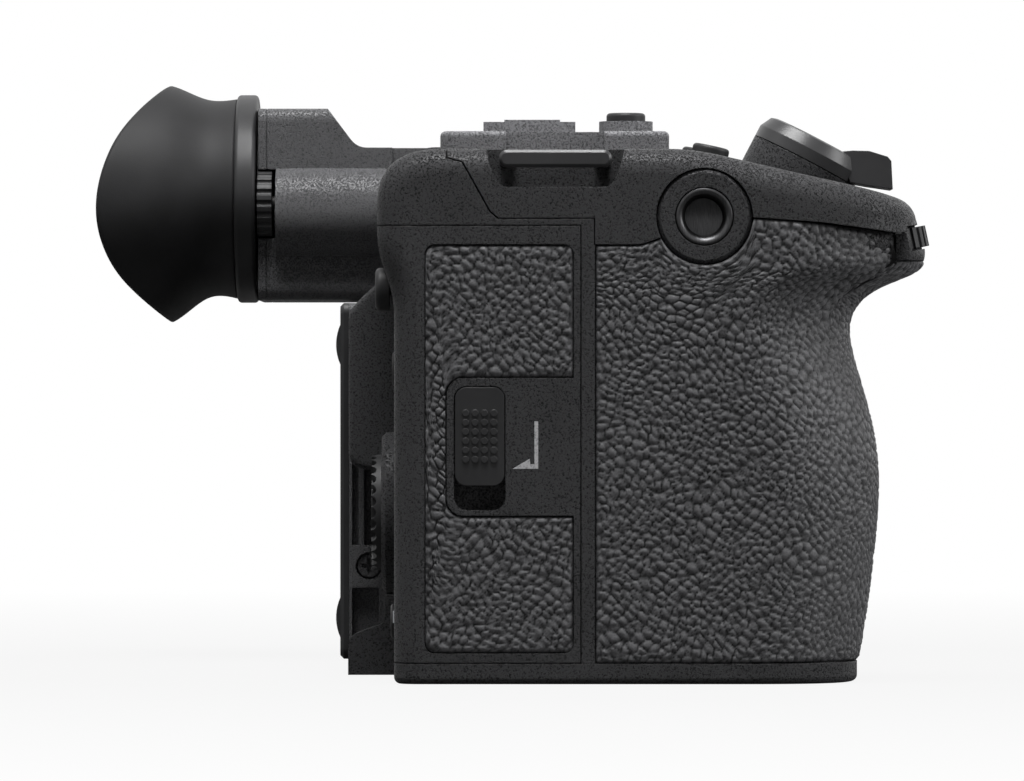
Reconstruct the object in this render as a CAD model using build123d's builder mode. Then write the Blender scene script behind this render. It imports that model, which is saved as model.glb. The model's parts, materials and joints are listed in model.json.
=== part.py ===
# Compact cinema camera body with a handgrip, a tilting viewfinder and a swing-out monitor.
# Row frame: the lens looks along -Y, the handgrip is on -X, +Z is up.
# The origin is the mouth of the tripod thread, under the lens axis. Units are millimetres.
import os
from math import cos, radians, sin

from build123d import *

os.makedirs("parts", exist_ok=True)

# Driving dimensions: outer body
grip_side_x = -73.0  # outer face of the handgrip side
left_side_x = 56.7  # outer face of the connector side
front_y = -11.5  # front face beside the lens mount
rear_y = 30.8  # rear face
shoulder_z = 73.0  # top of the shoulders
base_t = 2.8  # thickness of the base plate
split_y = 3.4  # parting line between front and rear halves
grip_inner_x = -34.5  # where the handgrip meets the front face
wall = 2.2  # casing wall
seam = 0.15  # parting gap between casings
slip = 0.3  # running gap round moving pieces
seat_gap = 0.02  # gap round a fixed pin or insert
run_gap = 0.05  # radial gap of a turning pin
corner_r = 5.0  # upright corners of the connector side
near_corner_r = 3.5  # upright rear corner and top edge of the handgrip side
edge_r = 2.5  # rounding of the far top edge
lens_z = 38.0  # height of the lens axis

# Handgrip stations: height above the base, reach of the front face, depth of the near front curve
grip_stations = [
    (0.0, -32.6, 15.0),
    (5.0, -33.5, 15.0),
    (10.0, -34.3, 15.0),
    (15.0, -34.95, 15.0),
    (20.0, -35.5, 15.0),
    (25.0, -35.85, 15.0),
    (30.0, -35.8, 15.0),
    (35.0, -35.1, 15.0),
    (40.0, -33.8, 15.0),
    (45.0, -32.4, 15.0),
    (49.5, -32.0, 15.2),
    (52.6, -33.8, 16.0),
    (54.6, -37.0, 17.3),
    (56.2, -40.8, 18.8),
    (58.7, -42.4, 19.5),
    (63.0, -41.3, 18.6),
    (67.0, -40.2, 18.0),
    (74.0, -37.0, 17.0),
]
grip_front_x0, grip_front_x1 = -57.0, -46.0  # flat middle of the grip's front
grip_near_depth = 15.0
overhang_z0, overhang_z1 = 51.0, 60.0  # heights of the index-finger overhang's underside
skin_t = 1.6  # thickness of the rubber grip skin
top_line = [(-6.5, 73.0), (-16.5, 71.5), (-28.7, 68.75), (-40.2, 66.0)]
top_end_slope = 0.28

# Rear shoulder of the handgrip side: it swells above the thumb, with a hollow over the card door's hinge
shoulder_rear_y = 24.2
bulge_y = 33.1
bulge_low_z, bulge_mid_z, bulge_high_z = 50.5, 61.4, 65.4
top_seam_z = 63.5  # parting line between the top cover and the rear cover
hinge_hollow = [(-70.1, 34.2), (-68.9, 31.6), (-67.4, 30.8)]
hollow_end = [(-62.8, 30.8), (-61.6, 31.5), (-60.2, 34.2)]

# Card door on the handgrip side
door_front_y = 5.4
door_top_z = 62.4
door_t = 2.2
door_pin_x, door_pin_y = -66.3, 29.2
door_pin_r = 0.8
door_barrel_r = 2.2
inlay_t = 0.9
inlay_y0, inlay_y1 = 6.3, 26.6
inlay_z0, inlay_z1 = 4.2, 59.9
plate_z0, plate_z1 = 22.95, 41.7
plate_y1 = 23.6
hinge_arm_zs = (9.0, 56.0)
hinge_arm_t = 1.6
hinge_arm_w = 2.0
hinge_arm_len = 14.0
bay_floor_x = -63.5
bay_y0, bay_y1 = 12.4, 25.4
bay_z0, bay_z1 = 13.0, 52.0
card_unit_x1 = -34.2
card_unit_y0, card_unit_y1 = 13.2, 24.8
card_unit_z0, card_unit_z1 = 17.0, 48.0
card_w, card_t, card_len = 20.0, 2.8, 26.0
card_ys = (16.0, 22.0)

# Door latch
latch_y0, latch_y1 = 15.6, 22.6
latch_low_z, latch_high_z = 23.7, 40.6
latch_len = 13.4
latch_t = 1.3
latch_corner = 1.7
dot_pitch_y, dot_pitch_z = 1.28, 1.26
dot_r, dot_h = 0.48, 0.22

# Quarter-inch threads (tapping size) and their steel inserts
thread_r = 2.6
thread_depth = 6.0
thread_mouth = 0.75
insert_r = 4.0
insert_len = 7.0
boss_r = 6.45
boss_t = 3.6
boss_y, boss_z = -11.5, 63.7
top_threads = [(-44.0, 17.0), (-21.0, 4.0)]
left_thread_y, left_thread_z = -4.0, 57.0

# Lens mount
mount_front_y = -16.0
mount_ring_t = 2.0
mount_r = 30.5
throat_r = 23.05
bayonet_r = 24.7
bayonet_slot_deg = 25.0
chamber_r = 25.4
mount_boss_r = 32.5
tunnel_r = 27.0
tunnel_back_y = -3.0
screw_circle_r = 27.6
contact_in_r = 19.8
contact_y0, contact_y1 = -12.5, -6.0
contact_pin_r, contact_pin_h = 0.5, 0.6
release_x, release_z = 36.5, 24.0
release_r = 4.7
release_flange_r = 6.0
release_travel = 1.5
lock_r = 1.4
lock_angle = -21.0

# Sensor, chassis and board
chassis_t = 1.5
sensor_plane_y = 2.0
sensor_w, sensor_h = 36.0, 24.0
sensor_rim = 5.0
sensor_unit_back_y = 6.0
board_y = 8.0
board_t = 1.6

# Small cross-head screws
screw_head_r, screw_head_h = 1.6, 0.9
screw_shank_r, screw_shank_len = 0.8, 3.0
shank_hole_r = screw_shank_r + 0.02
base_screws = ((-27.0, 26.0), (49.0, 26.0), (-27.0, -6.7), (49.0, -6.7), (-70.0, 0.0), (-38.0, 20.0))
post_r = 3.2
post_z = 8.6

# Top deck, shoe, strap bars
deck_z = 75.8
deck_near_x, deck_far_x = -58.5, 54.0
deck_front_y, deck_rear_y = -7.0, 24.6
deck_edge_r = 0.7
deck_bay_depth = 5.0
deck_bay_y0, deck_bay_y1 = 1.95, 15.5
strap_bar_len = 15.4
strap_bar_h, strap_bar_t = 2.4, 1.8
strap_bar_y = 8.8
strap_bar_z = 71.6
strap_pocket_low_z = 67.7
strap_pocket_depth = 7.4
left_strap_y = 4.0
shoe_y0, shoe_y1 = 5.6, 18.8
shoe_floor_z = 75.4
shoe_slot_w, shoe_slot_h = 18.8, 2.1
shoe_gap_w = 12.8
shoe_half_w = 11.4
shoe_top_z = 78.6
shoe_plate_t = 1.2

# Viewfinder
evf_x = 34.6
evf_hinge_y, evf_hinge_z = 26.0, 69.8
evf_barrel_r = 6.0
evf_half_w = 16.5
evf_arm_half_w = 14.0
evf_ear_t = 4.0
evf_low_z, evf_high_z = 53.3, 81.6
evf_front_y, evf_rear_y = 32.35, 52.1
evf_cap_y = 50.8  # seam of the housing's rear cap
evf_eye_z = 68.6
evf_pin_r = 1.5
eyepiece_r = 9.0
eyepiece_y0, eyepiece_y1 = 45.5, 49.8
optics_floor_y = 36.0
ring_y0, ring_y1 = 52.5, 55.6
ring_half_w, ring_half_h = 20.8, 15.5
spigot_r = 10.2
tube_x, tube_z, tube_r = 20.4, 66.25, 6.85
tube_front_y, tube_rear_y = 33.1, 49.5
diopter_y = tube_rear_y + 0.55
diopter_spindle_r = 1.2
diopter_x, diopter_z = 19.2, 67.5
diopter_r = 4.9
diopter_t = 2.15
diopter_teeth = 18
cup_t = 1.8

# Monitor
monitor_near_x, monitor_far_x = -29.5, 45.4
monitor_low_z, monitor_high_z = 2.0, 52.4
monitor_front_y, monitor_seam_y, monitor_rear_y = 31.6, 37.75, 39.0
monitor_pin_x, monitor_pin_y = 51.6, 35.4
monitor_pin_r = 1.3
monitor_barrel_r = 3.3
monitor_arm_t = 5.6
knuckle_h = 4.0
arm_z0, arm_z1 = 8.3, 43.7
screen_margin_x, screen_margin_z = 5.0, 3.0
monitor_screw_y, monitor_screw_z = 34.9, 15.2
monitor_grooves = ((36.4, 37.3, 18.1, 31.0), (33.5, 35.6, 18.1, 31.0), (33.5, 37.3, 3.6, 12.1))
bump_r, bump_proud = 7.0, 0.6  # finger bumps on the panel's near edge
bump_zs = (7.9, 46.5)
ledge_y = 37.75
ledge_line = [(ledge_y, 4.0), (36.5, 5.85), (33.4, 7.0), (32.5, 11.2)]
ledge_t = 1.7

# Top controls
lever_tilt = 27.5
lever_centre = (-52.0, -27.45, 74.8)
lever_r = 7.75
lever_top_r = 6.9
lever_h = 3.5
lever_bore_r = 4.7
spigot_h = 0.9
turret_spigot_r = 5.6
lever_tab_w = 9.0
shutter_r = 4.4
turret_h = 4.2
dial_centre = (-56.5, -34.8, 59.75)
dial_tilt = 12.0
dial_r = 8.0
dial_t = 2.85
dial_pin_r = 1.2
dial_teeth = 32
rec_x, rec_y = -30.0, -1.4
rec_r = 2.75
rec_collar_r = 3.8
rec_collar_z = 78.0
rec_top_z = 79.2
top_button_r = 2.55
top_button_tilt = 12.0
top_button_centres = ((-46.5, -11.3, 72.0), (-58.5, -12.5, 72.15))

# Rear controls
wheel_x, wheel_z = -52.0, 23.1
wheel_dish_r, wheel_dish_y = 11.1, 32.7
wheel_r, wheel_y = 8.0, 34.1
wheel_spindle_r = 1.45
wheel_teeth = 30
wheel_tooth_r = 0.7
wheel_button_r = 3.2
stick_x, stick_z = -55.0, 54.0
stick_r = 2.95
stick_pivot_y = 29.4
stick_pin_r = 0.35
thumb_x0, thumb_x1 = -39.5, -31.4
thumb_y = 37.6
thumb_low_z, thumb_high_z = 28.8, 54.9
rear_button_r = 2.4
rear_button_places = {"menu_button": (-46.0, 43.0), "playback_button": (-58.0, 8.2)}

# Battery and its bay
battery_x0, battery_x1 = -65.0, -42.3
battery_y0, battery_y1 = -26.5, 10.9
battery_low_z, battery_high_z = 3.2, 54.9
battery_door_t = 2.0
battery_door_x0 = -67.2
battery_door_y0, battery_door_y1 = -28.6, 12.6
battery_hinge_x = -38.4
battery_edge_x = -40.5  # far edge of the door's plate in front of its hinge
battery_hinge_y0 = -17.0  # front end of the hinge barrel
battery_hinge_z = 1.05
battery_barrel_r = 1.0
battery_pin_r = 0.6
battery_stub = 1.4
battery_latch_x0, battery_latch_len = -65.6, 5.5
battery_latch_y, battery_latch_half = -8.0, 3.6
battery_latch_high_z = 1.0
battery_latch_travel = 2.0

# Connector side
port_y0, port_y1 = 4.6, 25.0
port_bands = ((9.0, 31.0), (34.0, 56.0))
port_cover_t = 1.2
port_lip = 1.6
port_block_x = 46.0

main_front_y = front_y + wall
main_rear_y = rear_y - wall
main_near_x = grip_inner_x + 3.5
main_far_x = left_side_x - wall
main_top_z = shoulder_z - wall
mount_back_y = mount_front_y + mount_ring_t
thumb_seat_y = rear_y - 0.1


def level(z):
    """Plane at height z, facing up."""
    return Plane.XY.offset(z)


def face_on(y):
    """Plane at depth y, facing the front: its X is the row's X and its Y the row's Z."""
    return Plane.XZ.offset(-y)


def side_on(x):
    """Plane at x, facing +X: its X is the row's Y and its Y the row's Z."""
    return Plane.YZ.offset(x)


def block(x0, x1, y0, y1, z0, z1, mode=Mode.ADD):
    """Box between two corners, placed in the open part."""
    with Locations(((x0 + x1) / 2, (y0 + y1) / 2, (z0 + z1) / 2)):
        return Box(x1 - x0, y1 - y0, z1 - z0, mode=mode)


def rod_y(x, z, y0, y1, r, mode=Mode.ADD):
    """Cylinder along Y between two depths."""
    with Locations((x, (y0 + y1) / 2, z)):
        return Cylinder(r, y1 - y0, rotation=(90, 0, 0), mode=mode)


def rod_x(y, z, x0, x1, r, mode=Mode.ADD):
    """Cylinder along X between two sides."""
    with Locations(((x0 + x1) / 2, y, z)):
        return Cylinder(r, x1 - x0, rotation=(0, 90, 0), mode=mode)


def rod_z(x, y, z0, z1, r, mode=Mode.ADD):
    """Cylinder along Z between two heights."""
    with Locations((x, y, (z0 + z1) / 2)):
        return Cylinder(r, z1 - z0, mode=mode)


def leaning(centre, tilt, lift=0.0):
    """Plane through centre whose normal leans by tilt degrees towards the front, lifted along it."""
    normal = (0, -sin(radians(tilt)), cos(radians(tilt)))
    return Plane(origin=centre, x_dir=(1, 0, 0), z_dir=normal).offset(lift)


def disc_on(plane, r, height, mode=Mode.ADD):
    """Disc of radius r drawn on a plane and raised along its normal."""
    with BuildSketch(plane) as disc:
        Circle(r)
    extrude(disc.sketch, amount=height, mode=mode)


def finish(part, name):
    """Label a finished piece and write its file."""
    part.label = name
    export_step(part, f"parts/{name}.step")
    print(f"{name}: {len(part.solids())} solids, volume {part.volume:.0f}, valid {part.is_valid}")


# Outer form of the handgrip: a loft whose stations swell into the overhang, under a sloping top line
def grip_plan(reach, depth, near_x, inner_x, low_y):
    """Lines of the handgrip's plan for one reach of its front face and depth of its near curve."""
    narrowing = 0.6 * (depth - grip_near_depth)
    x0, x1 = grip_front_x0 + narrowing, grip_front_x1 - narrowing
    Line((near_x, low_y), (near_x, reach + depth))
    Spline((near_x, reach + depth), (x0, reach), tangents=[(0, -1), (1, 0)])
    Line((x0, reach), (x1, reach))
    Spline(
        (x1, reach), (inner_x - 2.5, reach + depth - 3.5), (inner_x, front_y + 5.5),
        tangents=[(1, 0), (0.1, 1)],
    )
    Line((inner_x, front_y + 5.5), (inner_x, low_y))
    Line((inner_x, low_y), (near_x, low_y))


def grip_form(inset):
    """The handgrip's form, taken in by inset at its sides and run on past its top and rear."""
    top_z = shoulder_z + 2 * inset
    crest = [(y, z + 2 * inset) for y, z in top_line]
    front_end = (-55.0, crest[-1][1] - top_end_slope * (55.0 + crest[-1][0]))
    back_y = split_y + inset
    with BuildPart() as column:
        for z, reach, depth in grip_stations:
            underside = overhang_z0 < z < overhang_z1
            z += 0.7 * inset if underside else 0
            z += 3 * inset if z > shoulder_z else 0
            with BuildSketch(level(z)):
                with BuildLine():
                    grip_plan(reach + inset, depth, grip_side_x + inset, grip_inner_x - inset, back_y)
                make_face()
        loft()
    with BuildPart() as form:
        add(column.part)
        with BuildSketch(side_on(grip_side_x - 5)):
            with BuildLine():
                Polyline(front_end, (front_end[0], -1), (back_y + 5, -1), (back_y + 5, top_z), crest[0])
                Spline(*crest, tangents=[(-1, 0), (-1, -top_end_slope)])
                Line(crest[-1], front_end)
            make_face()
        extrude(amount=60, mode=Mode.INTERSECT)
        if inset == 0:
            near_top = form.edges().filter_by(
                lambda e: abs(e.center().X - grip_side_x) < 0.2 and e.center().Z > shoulder_z - 3
            )
            front_top = form.edges().filter_by(
                lambda e: e.center().Y < -15 and e.center().Z > 64 and e.center().X > grip_side_x + 0.2
            )
            fillet(near_top + front_top, near_corner_r)
    return form.part


grip_outer = grip_form(0)
grip_inner = grip_form(skin_t)

# Outer form of the rear half of the handgrip side, with its swelling rear shoulder
with BuildPart() as near_rear:
    with BuildSketch(side_on(grip_side_x)):
        with BuildLine():
            Line((split_y, 0), (rear_y, 0))
            Line((rear_y, 0), (rear_y, bulge_low_z))
            Spline((rear_y, bulge_low_z), (bulge_y, bulge_mid_z), tangents=[(0, 1), (0, 1)])
            Line((bulge_y, bulge_mid_z), (bulge_y, bulge_high_z))
            Spline((bulge_y, bulge_high_z), (shoulder_rear_y, shoulder_z), tangents=[(0, 1), (-1, 0)])
            Line((shoulder_rear_y, shoulder_z), (split_y, shoulder_z))
            Line((split_y, shoulder_z), (split_y, 0))
        make_face()
    extrude(amount=grip_inner_x - grip_side_x)
    near_round = near_rear.edges().filter_by(
        lambda e: abs(e.center().X - grip_side_x) < 0.1
        and e.center().Y > split_y + 0.5
        and (e.center().Y > rear_y - 0.5 or e.center().Z > 60)
    )
    fillet(near_round, near_corner_r)
    with BuildSketch(level(40.0)):
        with BuildLine():
            Spline(*hinge_hollow, tangents=[(0.3, -1), (1, 0)])
            Line(hinge_hollow[-1], hollow_end[0])
            Spline(*hollow_end, tangents=[(1, 0), (0.3, 1)])
            Line(hollow_end[-1], hinge_hollow[0])
        make_face()
    extrude(amount=top_seam_z - 40.0, mode=Mode.SUBTRACT)

# Outer form of the main block behind the lens mount
with BuildPart() as main_block:
    with BuildSketch(level(0)):
        with Locations(((grip_inner_x + left_side_x) / 2, (front_y + rear_y) / 2)):
            Rectangle(left_side_x - grip_inner_x, rear_y - front_y)
    extrude(amount=shoulder_z)
    fillet(main_block.edges().filter_by(Axis.Z).group_by(Axis.X)[-1], corner_r)
    far_top = main_block.edges().group_by(Axis.Z)[-1].filter_by(
        lambda e: e.center().X > left_side_x - corner_r
    )
    fillet(far_top, edge_r)


# Parting regions, drawn on the handgrip side and carried through its width
def top_region(gap):
    """Space of the top cover on the handgrip side, moved out by gap from its parting line."""
    with BuildPart() as region:
        with BuildSketch(side_on(grip_side_x - 5)):
            with BuildLine():
                Polyline(
                    (23.5 + gap, 90),
                    (23.5 + gap, 71.8 - gap),
                    (21.4 + gap, 71.2 - gap),
                    (17.6 + gap, 64.4 - gap),
                    (16.5 + gap, top_seam_z - gap),
                    (split_y + gap, top_seam_z - gap),
                    (split_y + gap, 59.9 - gap),
                    (-2.7, 59.9 - gap),
                    (-8.0, 61.6 - gap),
                    (-18.0, 63.6 - gap),
                    (-27.8, 62.9 - gap),
                    (-37.8, 61.6 - gap),
                    (-50, 62.5 - gap),
                    (-50, 90),
                    close=True,
                )
            make_face()
        extrude(amount=grip_inner_x - grip_side_x + 5)
    return region.part


top_space = top_region(0)
top_space_wide = top_region(seam)
far_top_z = 69.6
far_top_low_z = 64.0
far_step_x = 36.0


def far_top_region(gap):
    """Space of the top cover over the main block: a thin lid, deeper beyond the lens mount."""
    with BuildPart() as region:
        block(grip_inner_x, left_side_x + 5, front_y - gap, rear_y + 10, far_top_z - gap, 90)
        block(far_step_x - gap, left_side_x + 5, front_y - gap, rear_y + 10, far_top_low_z - gap, 90)
    return region.part


far_top_space = far_top_region(0)
far_top_space_wide = far_top_region(seam)

# Battery bay, open downwards
with BuildPart() as battery_bay:
    block(
        battery_x0 - slip, battery_x1 + slip, battery_y0 - slip, battery_y1 + slip,
        -1, battery_high_z + slip,
    )

# Seat of the side thread's boss and insert
with BuildPart() as boss_seat:
    rod_x(boss_y, boss_z, grip_side_x - 5, grip_side_x + boss_t + seat_gap, boss_r + seam)
    rod_x(boss_y, boss_z, grip_side_x - 5, grip_side_x + insert_len + 0.5, insert_r + seat_gap)

# Room for the front dial: a tilted slot that opens at the nose, with holes for the dial's pin
dial_floor = leaning(dial_centre, -dial_tilt, -dial_t / 2 - slip)
dial_pin_half = dial_t / 2 + 2.0
with BuildPart() as dial_room:
    disc_on(dial_floor, dial_r + slip, dial_t + 2 * slip)
    with BuildSketch(dial_floor):
        with Locations((0, -12.0)):
            Rectangle(2 * dial_r + 2 * slip, 20)
    extrude(amount=dial_t + 2 * slip)
    disc_on(
        leaning(dial_centre, -dial_tilt, -dial_pin_half - 0.2), dial_pin_r + run_gap,
        2 * dial_pin_half + 0.4,
    )

# Pocket for the turret under the zoom lever
with BuildPart() as turret_pocket:
    disc_on(leaning(lever_centre, lever_tilt, -lever_h - turret_h), lever_r + seam, lever_h + turret_h + 6)

# Room in the rear casing for the card door, its hinge and its slide
hinge_room_r = door_barrel_r + 0.5
with BuildPart() as door_room:
    block(
        grip_side_x - 5, grip_side_x + door_t + seam, door_front_y - seam, rear_y + 5,
        0, door_top_z + seam,
    )
    rod_z(door_pin_x, door_pin_y, 0, door_top_z + seam, hinge_room_r)
    block(
        door_pin_x - hinge_room_r, door_pin_x + hinge_room_r, door_pin_y, rear_y + 5,
        0, door_top_z + seam,
    )
    block(grip_side_x, door_pin_x, rear_y - door_t - seam, rear_y + 5, 0, door_top_z + seam)
    for z in hinge_arm_zs:
        block(
            door_pin_x - hinge_arm_w / 2 - slip, door_pin_x + hinge_arm_w / 2 + slip,
            door_pin_y - hinge_arm_len - slip, door_pin_y,
            z - hinge_arm_t / 2 - slip, z + hinge_arm_t / 2 + slip,
        )

# Card bay behind the door and the seat of the card unit
with BuildPart() as card_room:
    block(grip_side_x, bay_floor_x, bay_y0, bay_y1, bay_z0, bay_z1)
    block(bay_floor_x - 1, card_unit_x1, card_unit_y0, card_unit_y1, card_unit_z0, card_unit_z1)

# Hollow of the main block
with BuildPart() as main_hollow:
    block(main_near_x, main_far_x, main_front_y, main_rear_y, 0, main_top_z)

# Notch for the viewfinder bracket in the rear top edge
notch_half = evf_arm_half_w + slip + evf_ear_t
notch_y = evf_hinge_y - evf_barrel_r - slip
notch_z = evf_hinge_z - evf_barrel_r - slip - 1.6
with BuildPart() as evf_notch:
    block(evf_x - notch_half, evf_x + notch_half, notch_y, rear_y + 5, notch_z, 90)


def strap_pocket(side_x, inward, centre_y):
    """Flared pocket with a rounded floor behind a strap bar, open at the top."""
    half = strap_bar_len / 2
    low, high = strap_pocket_low_z, shoulder_z + 4.0
    with BuildPart() as pocket:
        with BuildSketch(side_on(side_x - 5 * inward)):
            with BuildLine():
                Line((centre_y - half + 1.4, low), (centre_y + half - 1.4, low))
                Spline(
                    (centre_y + half - 1.4, low), (centre_y + half + 0.9, low + 2.0),
                    (centre_y + half + 3.0, high), tangents=[(1, 0), (0.5, 1)],
                )
                Line((centre_y + half + 3.0, high), (centre_y - half - 3.0, high))
                Spline(
                    (centre_y - half - 3.0, high), (centre_y - half - 0.9, low + 2.0),
                    (centre_y - half + 1.4, low), tangents=[(0.5, -1), (1, 0)],
                )
            make_face()
        extrude(amount=inward * (strap_pocket_depth + 5))
    return pocket.part


strap_room = strap_pocket(grip_side_x, 1, strap_bar_y)
left_strap_room = strap_pocket(left_side_x, -1, left_strap_y)


def seat_top_inserts():
    """Cut the seats of the two threads in the top."""
    for x, y in top_threads:
        rod_z(x, y, deck_z - insert_len, 90, insert_r + seat_gap, mode=Mode.SUBTRACT)


# Lid of the top cover over the main block
with BuildPart() as lid:
    add(main_block.part)
    add(far_top_space, mode=Mode.INTERSECT)

# Top cover: shoulders, strap pockets and seats, with a hollow underneath
button_floor = -3.6
with BuildPart() as top_cover:
    add(grip_outer)
    add(near_rear.part)
    add(top_space, mode=Mode.INTERSECT)
    add(lid.part)
    block(-65.0, grip_inner_x - 2.5, -8.0, 18.0, 50, 67.0, mode=Mode.SUBTRACT)
    block(main_near_x, 45.0, main_front_y, main_rear_y, 50, main_top_z, mode=Mode.SUBTRACT)
    add(strap_room, mode=Mode.SUBTRACT)
    add(left_strap_room, mode=Mode.SUBTRACT)
    add(boss_seat.part, mode=Mode.SUBTRACT)
    add(turret_pocket.part, mode=Mode.SUBTRACT)
    add(dial_room.part, mode=Mode.SUBTRACT)
    add(evf_notch.part, mode=Mode.SUBTRACT)
    seat_top_inserts()
    for centre in top_button_centres:
        disc_on(
            leaning(centre, top_button_tilt, button_floor), top_button_r + 0.2, 10, mode=Mode.SUBTRACT
        )
    rod_z(rec_x, rec_y, shoulder_z - 1.0, 90, rec_r + 0.2, mode=Mode.SUBTRACT)
finish(top_cover.part, "top_cover")

# Grip frame: the structural core of the handgrip, with the battery bay and the dial lip
with BuildPart() as lip_region:
    block(
        dial_centre[0] - dial_r - slip - 0.7, dial_centre[0] + dial_r + slip + 0.7, -60, -37.9,
        57.9, 90,
    )
with BuildPart() as lip:
    add(grip_outer)
    add(lip_region.part, mode=Mode.INTERSECT)
with BuildPart() as joint_region:
    block(grip_inner_x - 2 * skin_t, grip_inner_x, front_y - 2.0, split_y, 0, 90)
with BuildPart() as joint_flank:
    add(grip_outer)
    add(joint_region.part, mode=Mode.INTERSECT)
with BuildPart() as grip_frame:
    add(grip_inner)
    add(lip.part)
    add(joint_flank.part)
    block(-90, 0, -60, split_y, base_t, 90, mode=Mode.INTERSECT)
    add(top_space_wide, mode=Mode.SUBTRACT)
    add(battery_bay.part, mode=Mode.SUBTRACT)
    add(dial_room.part, mode=Mode.SUBTRACT)
    add(boss_seat.part, mode=Mode.SUBTRACT)
    add(turret_pocket.part, mode=Mode.SUBTRACT)
    for x, y in base_screws:
        rod_z(x, y, 0, screw_head_h + screw_shank_len + 0.4, screw_shank_r + seat_gap, mode=Mode.SUBTRACT)
finish(grip_frame.part, "grip_frame")

# Grip skin: rubber sleeve round the grip frame
with BuildPart() as grip_skin:
    add(grip_outer)
    block(-90, 0, -60, split_y - seam, base_t + seam, 90, mode=Mode.INTERSECT)
    add(grip_inner, mode=Mode.SUBTRACT)
    add(joint_region.part, mode=Mode.SUBTRACT)
    add(top_space_wide, mode=Mode.SUBTRACT)
    add(lip_region.part, mode=Mode.SUBTRACT)
    add(dial_room.part, mode=Mode.SUBTRACT)
    add(boss_seat.part, mode=Mode.SUBTRACT)
finish(grip_skin.part, "grip_skin")

# Front cover: main front with the lens mount's boss and the light tunnel
lock_x = screw_circle_r * cos(radians(lock_angle))
lock_z = lens_z + screw_circle_r * sin(radians(lock_angle))
mount_screw_angles = [30 + 60 * i for i in range(6)]


def cut_mount_holes(y0, y1, r):
    """Cut the mount screws' holes between two depths."""
    for angle in mount_screw_angles:
        x = screw_circle_r * cos(radians(angle))
        z = lens_z + screw_circle_r * sin(radians(angle))
        rod_y(x, z, y0, y1, r, mode=Mode.SUBTRACT)


with BuildPart() as front_cover:
    add(main_block.part)
    block(grip_inner_x, 90, -60, split_y, base_t, 90, mode=Mode.INTERSECT)
    add(main_hollow.part, mode=Mode.SUBTRACT)
    rod_y(0, lens_z, mount_back_y, main_front_y, mount_boss_r)
    rim = front_cover.edges().filter_by(GeomType.CIRCLE).group_by(Axis.Y)[0]
    chamfer(rim, 1.2)
    add(far_top_space_wide, mode=Mode.SUBTRACT)
    rod_y(0, lens_z, front_y, tunnel_back_y, tunnel_r)
    rod_y(0, lens_z, -40, 40, chamber_r, mode=Mode.SUBTRACT)
    for x, y in base_screws[2:4]:
        rod_z(x, y, base_t, post_z, post_r)
    rod_x(
        left_thread_y, left_thread_z, left_side_x - insert_len, left_side_x + 5, insert_r + seat_gap,
        mode=Mode.SUBTRACT,
    )
    rod_y(release_x, release_z, -40, main_front_y + 1, release_r + slip, mode=Mode.SUBTRACT)
    rod_y(lock_x, lock_z, -40, main_front_y + 1, lock_r + run_gap, mode=Mode.SUBTRACT)
    cut_mount_holes(mount_back_y - 1, mount_front_y + screw_head_h + screw_shank_len + 1, shank_hole_r)
    for x, y in base_screws[2:4]:
        rod_z(x, y, 0, screw_head_h + screw_shank_len + 0.4, screw_shank_r + seat_gap, mode=Mode.SUBTRACT)
finish(front_cover.part, "front_cover")

# Rear cover: rear wall, connector side, card bay and the seats of the rear controls
port_recess_x = left_side_x - port_cover_t - 0.1
with BuildPart() as rear_cover:
    add(near_rear.part)
    add(main_block.part)
    block(-90, 90, split_y, 90, base_t, 90, mode=Mode.INTERSECT)
    add(main_hollow.part, mode=Mode.SUBTRACT)
    add(top_space_wide, mode=Mode.SUBTRACT)
    add(far_top_space_wide, mode=Mode.SUBTRACT)
    add(door_room.part, mode=Mode.SUBTRACT)
    add(card_room.part, mode=Mode.SUBTRACT)
    add(battery_bay.part, mode=Mode.SUBTRACT)
    add(evf_notch.part, mode=Mode.SUBTRACT)
    seat_top_inserts()
    for x, y in base_screws[:2]:
        rod_z(x, y, base_t, post_z, post_r)
    for x, y in base_screws:
        rod_z(x, y, 0, screw_head_h + screw_shank_len + 0.4, screw_shank_r + seat_gap, mode=Mode.SUBTRACT)
    rod_y(wheel_x, wheel_z, rear_y - 0.5, wheel_dish_y, wheel_dish_r)
    dish_rim = rear_cover.edges().filter_by(GeomType.CIRCLE).filter_by(
        lambda e: abs(e.radius - wheel_dish_r) < 0.01
    )
    chamfer(dish_rim.sort_by(Axis.Y)[-1], 0.6)
    rod_y(wheel_x, wheel_z, rear_y + 0.1, 50, wheel_r + slip, mode=Mode.SUBTRACT)
    rod_y(wheel_x, wheel_z, rear_y - 2.8, 50, wheel_spindle_r + run_gap, mode=Mode.SUBTRACT)
    rod_y(stick_x, stick_z, rear_y - 0.2, 50, stick_r + 0.9, mode=Mode.SUBTRACT)
    rod_y(stick_x, stick_z, stick_pivot_y - 1.2, 50, 2.4, mode=Mode.SUBTRACT)
    block(
        thumb_x0 - seam, thumb_x1 + seam, thumb_seat_y, 50, thumb_low_z - seam, thumb_high_z + seam,
        mode=Mode.SUBTRACT,
    )
    for x, z in rear_button_places.values():
        rod_y(x, z, rear_y - 2.2, 50, rear_button_r + 0.2, mode=Mode.SUBTRACT)
    for z0, z1 in port_bands:
        block(port_recess_x, 90, port_y0 - slip, port_y1 + slip, z0 - slip, z1 + slip, mode=Mode.SUBTRACT)
        block(
            main_far_x - 1, 90, port_y0 + port_lip, port_y1 - port_lip, z0 + port_lip, z1 - port_lip,
            mode=Mode.SUBTRACT,
        )
finish(rear_cover.part, "rear_cover")


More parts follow.
